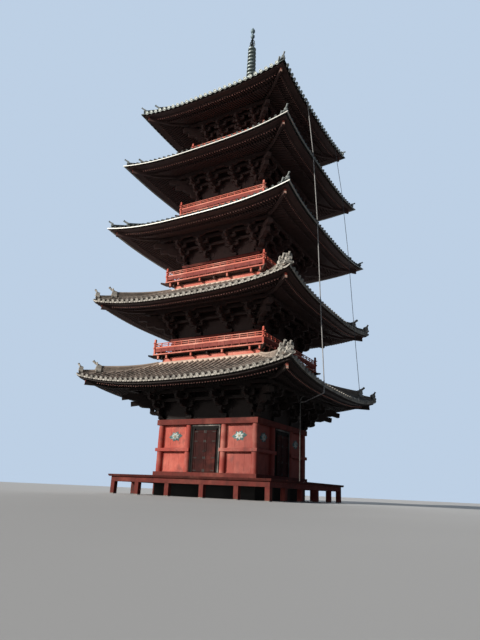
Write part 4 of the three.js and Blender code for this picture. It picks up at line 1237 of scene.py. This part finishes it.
WALL_UNITS = [
    ("front_wall_left", -1, True, 0), ("front_wall_right", 1, True, 0),
    ("east_wall_front", -1, False, 1), ("east_wall_back", 1, False, 1),
    ("back_wall_east", -1, True, 2), ("back_wall_west", 1, True, 2),
    ("west_wall_back", -1, False, 3), ("west_wall_front", 1, False, 3),
]


def ground_walls():
    """Columns and boards for each of the eight wall pieces beside the doorways."""
    for node, sign, corner, turn in WALL_UNITS:
        frame_work, panels = shapes(2)
        wall_unit(frame_work, panels, sign, corner, turn)
        make(f"{node}_columns", frame_work, RED, "red_timber", replaces=[node], smooth=35, bevel=0.006)
        make(f"{node}_boards", panels, PANEL_RED, "red_timber", smooth=35, bevel=0.004)


DOORWAY = 0.735
MOULDING_OUT = 0.80


def door_trim():
    """Mouldings round each doorway, worn pale over the leaves and on the right, and black on the left as
    painted shade of the column beside it.
    """
    front, back = -GROUND - 0.097, -GROUND - 0.073
    low, high = SILL_TOP + 0.01, HEAD_BOTTOM - 0.01
    left, worn = shapes(2)
    left.add(box(-MOULDING_OUT, -DOORWAY, front, back, low, high), ALL)
    worn.add(box(DOORWAY, MOULDING_OUT, front, back, low, high), ALL)
    worn.add(bar(0, DOORWAY - 0.001, front + 0.002, back, HEAD_BOTTOM - 0.085, HEAD_BOTTOM - 0.012), ALL)
    make("door_mouldings_left", left, BLACK, "black_lacquer", bevel=0.005)
    make("door_mouldings_right", worn, WORN, "black_lacquer", bevel=0.005)


DOOR_LEAVES = [
    ("front_door_right", "front_right_leaf", 1, 0), ("front_door_left", "front_left_leaf", -1, 0),
    ("east_door_back", "east_back_leaf", 1, 1), ("east_door_front", "east_front_leaf", -1, 1),
]
LEAF_FACE = -GROUND - 0.095
STRAP_LEVELS = (1.16, 1.72, 2.46, 2.89)
STRAP_SPAN = (0.40, 0.58)
STRAP_HALF = 0.020
STUD_START = 0.43
STUD_PITCH = 0.06
PLATE_LEVELS = ((1.10, 1.22), (1.67, 1.77), (2.41, 2.51), (2.83, 2.95))
PLATE_SPAN = (0.012, 0.065)
RING_X = 0.045
RING_Z = 2.02
RING_RADIUS = 0.040


def door_fittings():
    """Iron straps, studs and a ring on each leaf, which move with it."""
    stud = [(0, 0.013), (0.010, 0.011), (0.015, 0.004)]
    front, back = LEAF_FACE - 0.007, LEAF_FACE + 0.001
    for node, body, sign, turn in DOOR_LEAVES:
        shape = Shape()
        side = (turn,)
        for z in STRAP_LEVELS:
            shape.add(box(*mirrored(sign, *STRAP_SPAN), front, back, z - STRAP_HALF, z + STRAP_HALF), side)
            for k in range(3):
                shape.add(lathe(stud, (sign * (STUD_START + STUD_PITCH * k), front, z), (0, -1, 0), 8), side)
        for z0, z1 in PLATE_LEVELS:
            shape.add(box(*mirrored(sign, *PLATE_SPAN), LEAF_FACE - 0.006, back, z0, z1), side)
        ring = [(sign * RING_X + RING_RADIUS * math.cos(a), LEAF_FACE - 0.014,
                 RING_Z + RING_RADIUS * math.sin(a)) for a in np.linspace(0.3, math.tau + 0.29, 14)]
        shape.add(sweep(ring, circle(0.007, 6), (0, -1, 0)), side)
        make(f"{node}_fittings", shape, IRON, "black_lacquer", body=body, smooth=40)


# Veranda

VERANDA_HALF = 4.225
VERANDA_TOP = 0.86
DECK_BOTTOM = 0.80
POST_LINE = 4.0
POST_HALF = 0.11
POST_FOOT = 0.03
POSTS = (-2.58, -0.9, 0.9, 2.58)
EDGE_BEAM = (0.54, 0.76)
TIE_FOOT = 0.64
TIE_HALF = 0.05
SILL_OUT = 0.2003
FLOOR_BOARDS = 34
BOARD_GAP = 0.006


def veranda():
    """Floor boards across each side, the beams and posts under them and a stone under each post."""
    boards, frame_beams, stones = shapes(3)
    wall = GROUND + SILL_OUT
    width = VERANDA_HALF * 2 / FLOOR_BOARDS
    for k in range(FLOOR_BOARDS):
        x = -VERANDA_HALF + width * k
        beside_wall = x > -wall and x + width < wall
        board = box(x, x + width - BOARD_GAP, -VERANDA_HALF, -wall, DECK_BOTTOM, VERANDA_TOP)
        for sides in ((0, 2), (1, 3)) if beside_wall else ((0, 2),):
            boards.add(board, sides)
    boards.add(square_ring(VERANDA_HALF - 0.02, VERANDA_HALF - 0.16, 0.762, DECK_BOTTOM))
    outer, inner = POST_LINE + POST_HALF, POST_LINE - POST_HALF
    frame_beams.add(square_ring(outer, inner, *EDGE_BEAM))
    for x in (-POST_LINE, *POSTS):
        frame_beams.add(bar(x, POST_HALF, -outer, -inner, POST_FOOT, EDGE_BEAM[0] + 0.02), ALL)
        stones.add(post(x, -POST_LINE, [(POST_HALF, 0.0), (POST_HALF, POST_FOOT)]), ALL)
    for x in POSTS:
        frame_beams.add(bar(x, TIE_HALF, -POST_LINE, -GROUND - 0.121, TIE_FOOT, EDGE_BEAM[1]), ALL)
    make("veranda_boards", boards, SHADED_DECK_RED, "red_timber", replaces=["veranda_deck"], bevel=0.005)
    make("veranda_posts", frame_beams, SHADED_BEAM_RED, "red_timber", replaces=["veranda_frame"], bevel=0.008)
    make("veranda_stones", stones, STONE, "stone", bevel=0.006)


# Finial

TIP_Z = 29.37
HOOPS = 9
FIRST_HOOP = 25.13
HOOP_PITCH = 0.29
BASIN_Z = APEX_Z + 0.40
MAST_TOP = FIRST_HOOP + HOOP_PITCH * (HOOPS - 1) + 0.20


def finial_basin():
    """The square base with its panels, the bowl and the petals over it."""
    base = Shape()
    base.add(square_ring(0.42, 0.02, APEX_Z, APEX_Z + 0.33))
    base.add(square_ring(0.445, 0.30, APEX_Z, APEX_Z + 0.06))
    base.add(square_ring(0.47, 0.02, APEX_Z + 0.33, BASIN_Z))
    for x in (-0.21, 0.21):
        base.add(bar(x, 0.15, -0.435, -0.41, APEX_Z + 0.10, APEX_Z + 0.28), ALL)
    bowl = [(0, 0.40), (0.03, 0.405), (0.13, 0.39), (0.20, 0.355), (0.27, 0.30), (0.31, 0.22), (0.33, 0.12),
            (0.38, 0.12), (0.42, 0.22), (0.47, 0.29), (0.52, 0.33), (0.56, 0.30)]
    base.add(lathe([(BASIN_Z + along, radius) for along, radius in bowl], count=40))
    for k in range(8):
        def place(u, v, out, turn=math.tau * k / 8):
            r = 0.12 + 0.16 * (u / 0.2) ** 1.3
            return polar(r + out, turn + v / max(r, 0.08), BASIN_Z + 0.38 + u * 0.85)
        base.add(petal(0.20, 0.15, 0.02, place, 0.0))
    make("finial_basin", base, BRONZE, "bronze", replaces=["finial_base"], smooth=35)


def finial_hoops():
    """The mast with its hoops, each on a hub and eight spokes."""
    rings = Shape()
    rings.add(lathe([(BASIN_Z + 0.55, 0.055), (MAST_TOP, 0.055)], count=20))
    for k in range(HOOPS):
        radius = 0.30 - 0.045 * k / (HOOPS - 1)
        foot = FIRST_HOOP + HOOP_PITCH * k
        hoop = [(0.012, radius - 0.15), (0, radius - 0.10), (0.006, radius - 0.012), (0.03, radius),
                (0.09, radius), (0.11, radius - 0.02), (0.10, radius - 0.10), (0.088, radius - 0.15)]
        rings.add(loft([[polar(r, a, foot + h) for h, r in hoop]
                        for a in np.linspace(0, math.tau, 40, endpoint=False)], looped=True))
        hub = [(foot - 0.06, 0.075), (foot + 0.02, 0.10), (foot + 0.09, 0.10), (foot + 0.15, 0.075)]
        rings.add(lathe(hub, count=20))
        for a in np.linspace(0, math.tau, 8, endpoint=False):
            spoke = [polar(r, a, foot + 0.05) for r in (0.05, radius - 0.12)]
            rings.add(sweep(spoke, circle(0.018, 6)))
    make("finial_hoops", rings, BRONZE, "bronze", replaces=["finial_rings"], smooth=35)


def finial_top():
    """Four openwork flames round the mast, a ball and the jewel at the tip."""
    flame, jewels = shapes(2)
    flame.add(lathe([(MAST_TOP, 0.045), (MAST_TOP + 1.25, 0.03)], count=16))
    outer = [(0.01, 0.03), (0.13, 0.06), (0.205, 0.16), (0.215, 0.28), (0.165, 0.35), (0.185, 0.46),
             (0.165, 0.54), (0.10, 0.59), (0.085, 0.68), (0.045, 0.75), (0.01, 0.80)]
    inner = [(0.01, 0.10), (0.095, 0.12), (0.155, 0.19), (0.165, 0.26), (0.11, 0.34), (0.14, 0.45),
             (0.12, 0.50), (0.05, 0.55), (0.045, 0.65), (0.03, 0.70), (0.01, 0.72)]
    vein = [(0.03, 0.16), (0.085, 0.18), (0.115, 0.24), (0.085, 0.29), (0.045, 0.27), (0.05, 0.36),
            (0.095, 0.43)]
    blade = [[(r0, -0.011, MAST_TOP + h0), (r0, 0.011, MAST_TOP + h0), (r1, 0.011, MAST_TOP + h1),
              (r1, -0.011, MAST_TOP + h1)] for (r0, h0), (r1, h1) in zip(outer, inner)]
    path = [(r, 0, MAST_TOP + h) for r, h in vein]
    for turn in ALL:
        flame.add(loft(blade), (turn,))
        flame.add(sweep(path, circle(0.018, 6), (0, 1, 0)), (turn,))
    arc = np.linspace(-math.pi / 2 + 0.1, math.pi / 2 - 0.1, 14)
    ball = MAST_TOP + 0.96
    jewels.add(lathe([(ball + 0.17 * math.sin(a), 0.135 * math.cos(a)) for a in arc], count=28))
    foot = TIP_Z - 0.48
    drop = [(-0.10, 0.03), (0, 0.05), (0.02, 0.09), (0.07, 0.13), (0.13, 0.145), (0.20, 0.138), (0.27, 0.11),
            (0.35, 0.06), (0.42, 0.025), (0.48, 0.004)]
    jewels.add(lathe([(foot + along, radius) for along, radius in drop], count=28))
    make("finial_flames", flame, FLAME_BRONZE, "bronze", replaces=["finial_flame"], smooth=50)
    make("finial_jewels", jewels, VERDIGRIS, "bronze", smooth=50)


# Solids that stay

KEPT = [
    (SHADED_STONE, 0.02, ["stone_base"]),
    (DARK, 0.008, ["floor_frame"]),
    (DARK, 0.006, ["ground_floor"]),
    (SHADED_BEAM_RED, 0.012, ["sill_ring", "head_ring"]),
    (SHADED_BEAM_RED, 0.006, ["walls_2", "walls_3", "walls_4", "walls_5"]),
    (BLACK, 0.008, ["front_door_frame", "east_door_frame"]),
    (SHADED_DOOR_RED, 0.005, ["front_door_left", "front_door_right", "east_door_front", "east_door_back",
                       "back_doors", "west_doors"]),
    (WIRE, 0, ["conductor_front"]),
    (SHADED_WIRE, 0, ["conductor_back"]),
    (SHADED_PIPE, 0, ["conductor_pipe"]),
]


def dress_kept():
    """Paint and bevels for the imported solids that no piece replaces."""
    for finish, width, nodes in KEPT:
        for node in nodes:
            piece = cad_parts[node]
            piece.data.materials.clear()
            piece.data.materials.append(finish)
            if width:
                add_bevel(piece, width)


# Camera, light and floor

PHOTO_HEIGHT = 640
SENSOR = 36
LENS_PIXELS = 529.116
EYE = (13.7727, -23.4204, 0.3233)
PAN, TILT, ROLL = (math.radians(angle) for angle in (-30.437, 17.956, 2.595))


def camera():
    data = bpy.data.cameras.new("camera")
    data.sensor_width = SENSOR
    data.lens = SENSOR * LENS_PIXELS / PHOTO_HEIGHT
    data.clip_end = 500
    ahead = Vector((math.sin(PAN) * math.cos(TILT), math.cos(PAN) * math.cos(TILT), math.sin(TILT)))
    right = Vector((math.cos(PAN), -math.sin(PAN), 0))
    up = right.cross(ahead)
    rolled = math.cos(ROLL) * right + math.sin(ROLL) * up
    risen = -math.sin(ROLL) * right + math.cos(ROLL) * up
    eye = linked("camera", data)
    eye.matrix_world = Matrix.Translation(EYE) @ Matrix((rolled, risen, -ahead)).transposed().to_4x4()
    bpy.context.scene.camera = eye


# Lamps: the side that each shines from, strength, width in degrees, colour. The bounce is low, so that it
# reaches the rafter ends under the eaves
LAMPS = [
    ("sun", (-0.55, -1.0, 0.434), 4.3, 3.0, (1.0, 0.94, 0.86)),
    ("bounce", (-0.45, -1.0, 0.05), 0.60, 24.0, (1.0, 0.95, 0.90)),
    ("fill", (-0.5, 1.0, 0.5), 0.9, 30.0, (0.9, 0.95, 1.0)),
]

# The world: what the camera sees, and colour and strength of the light under and over the horizon
BACKDROP = (0.60, 0.74, 0.92)
BACKDROP_STRENGTH = 0.85
LIGHT_BELOW = (0.86, 0.88, 0.92)
LIGHT_ABOVE = (0.56, 0.76, 1.0)
WORLD_LOW = 0.135
WORLD_HIGH = 0.14
HORIZON = 0.3


def sun_lamp(name, source, energy, angle, colour):
    data = bpy.data.lights.new(name, "SUN")
    data.energy = energy
    data.angle = math.radians(angle)
    data.color = colour
    linked(name, data).rotation_euler = Vector(source).to_track_quat("Z", "Y").to_euler()


def world_light():
    """A pale backdrop. The light that it gives is fainter, and bluer from above."""
    world = bpy.data.worlds.new("studio")
    sky = Nodes(world)
    backdrop = sky.tree.nodes["Background"]
    sky.feed(backdrop, {"Color": (*BACKDROP, 1), "Strength": BACKDROP_STRENGTH})
    place = sky.node("ShaderNodeTexCoord", {}).outputs["Generated"]
    height = sky.node("ShaderNodeSeparateXYZ", {"Vector": place}).outputs["Z"]
    span = {"Value": height, "From Min": -HORIZON, "From Max": HORIZON}
    strength = sky.node("ShaderNodeMapRange", {**span, "To Min": WORLD_LOW, "To Max": WORLD_HIGH})
    share = sky.node("ShaderNodeMapRange", span)
    colour = sky.mix(share.outputs["Result"], LIGHT_BELOW, LIGHT_ABOVE)
    light = sky.node("ShaderNodeBackground", {"Color": colour, "Strength": strength.outputs["Result"]})
    seen = sky.node("ShaderNodeLightPath", {}).outputs["Is Camera Ray"]
    mix = sky.node("ShaderNodeMixShader", {0: seen, 1: light.outputs[0], 2: backdrop.outputs[0]})
    sky.feed(sky.tree.nodes["World Output"], {"Surface": mix.outputs[0]})
    bpy.context.scene.world = world


FLOOR_REACH = 160


def studio():
    for lamp in LAMPS:
        sun_lamp(*lamp)
    world_light()
    bpy.context.scene.view_settings.view_transform = "Standard"
    mesh = bpy.data.meshes.new("studio_floor")
    mesh.from_pydata([(x * FLOOR_REACH, y * FLOOR_REACH, 0) for x, y in SQUARE], [], [ALL])
    floor = linked("studio_floor", mesh)
    floor.visible_diffuse = False
    f = Finish("pale_floor")
    shade = f.mix(f.noise(0.2, 3), (0.52, 0.52, 0.52), (0.57, 0.57, 0.57))
    mesh.materials.append(f.done(shade, 0.9))


camera()
studio()
dress_kept()
for level in range(len(STOREYS)):
    roof = Roof(level)
    build_roof(roof)
    build_eaves(roof)
    build_brackets(roof)
    if level:
        upper_trim(roof)
        balcony(roof)
        railing(roof)
ground_walls()
medallions()
door_trim()
door_fittings()
veranda()
finial_basin()
finial_hoops()
finial_top()
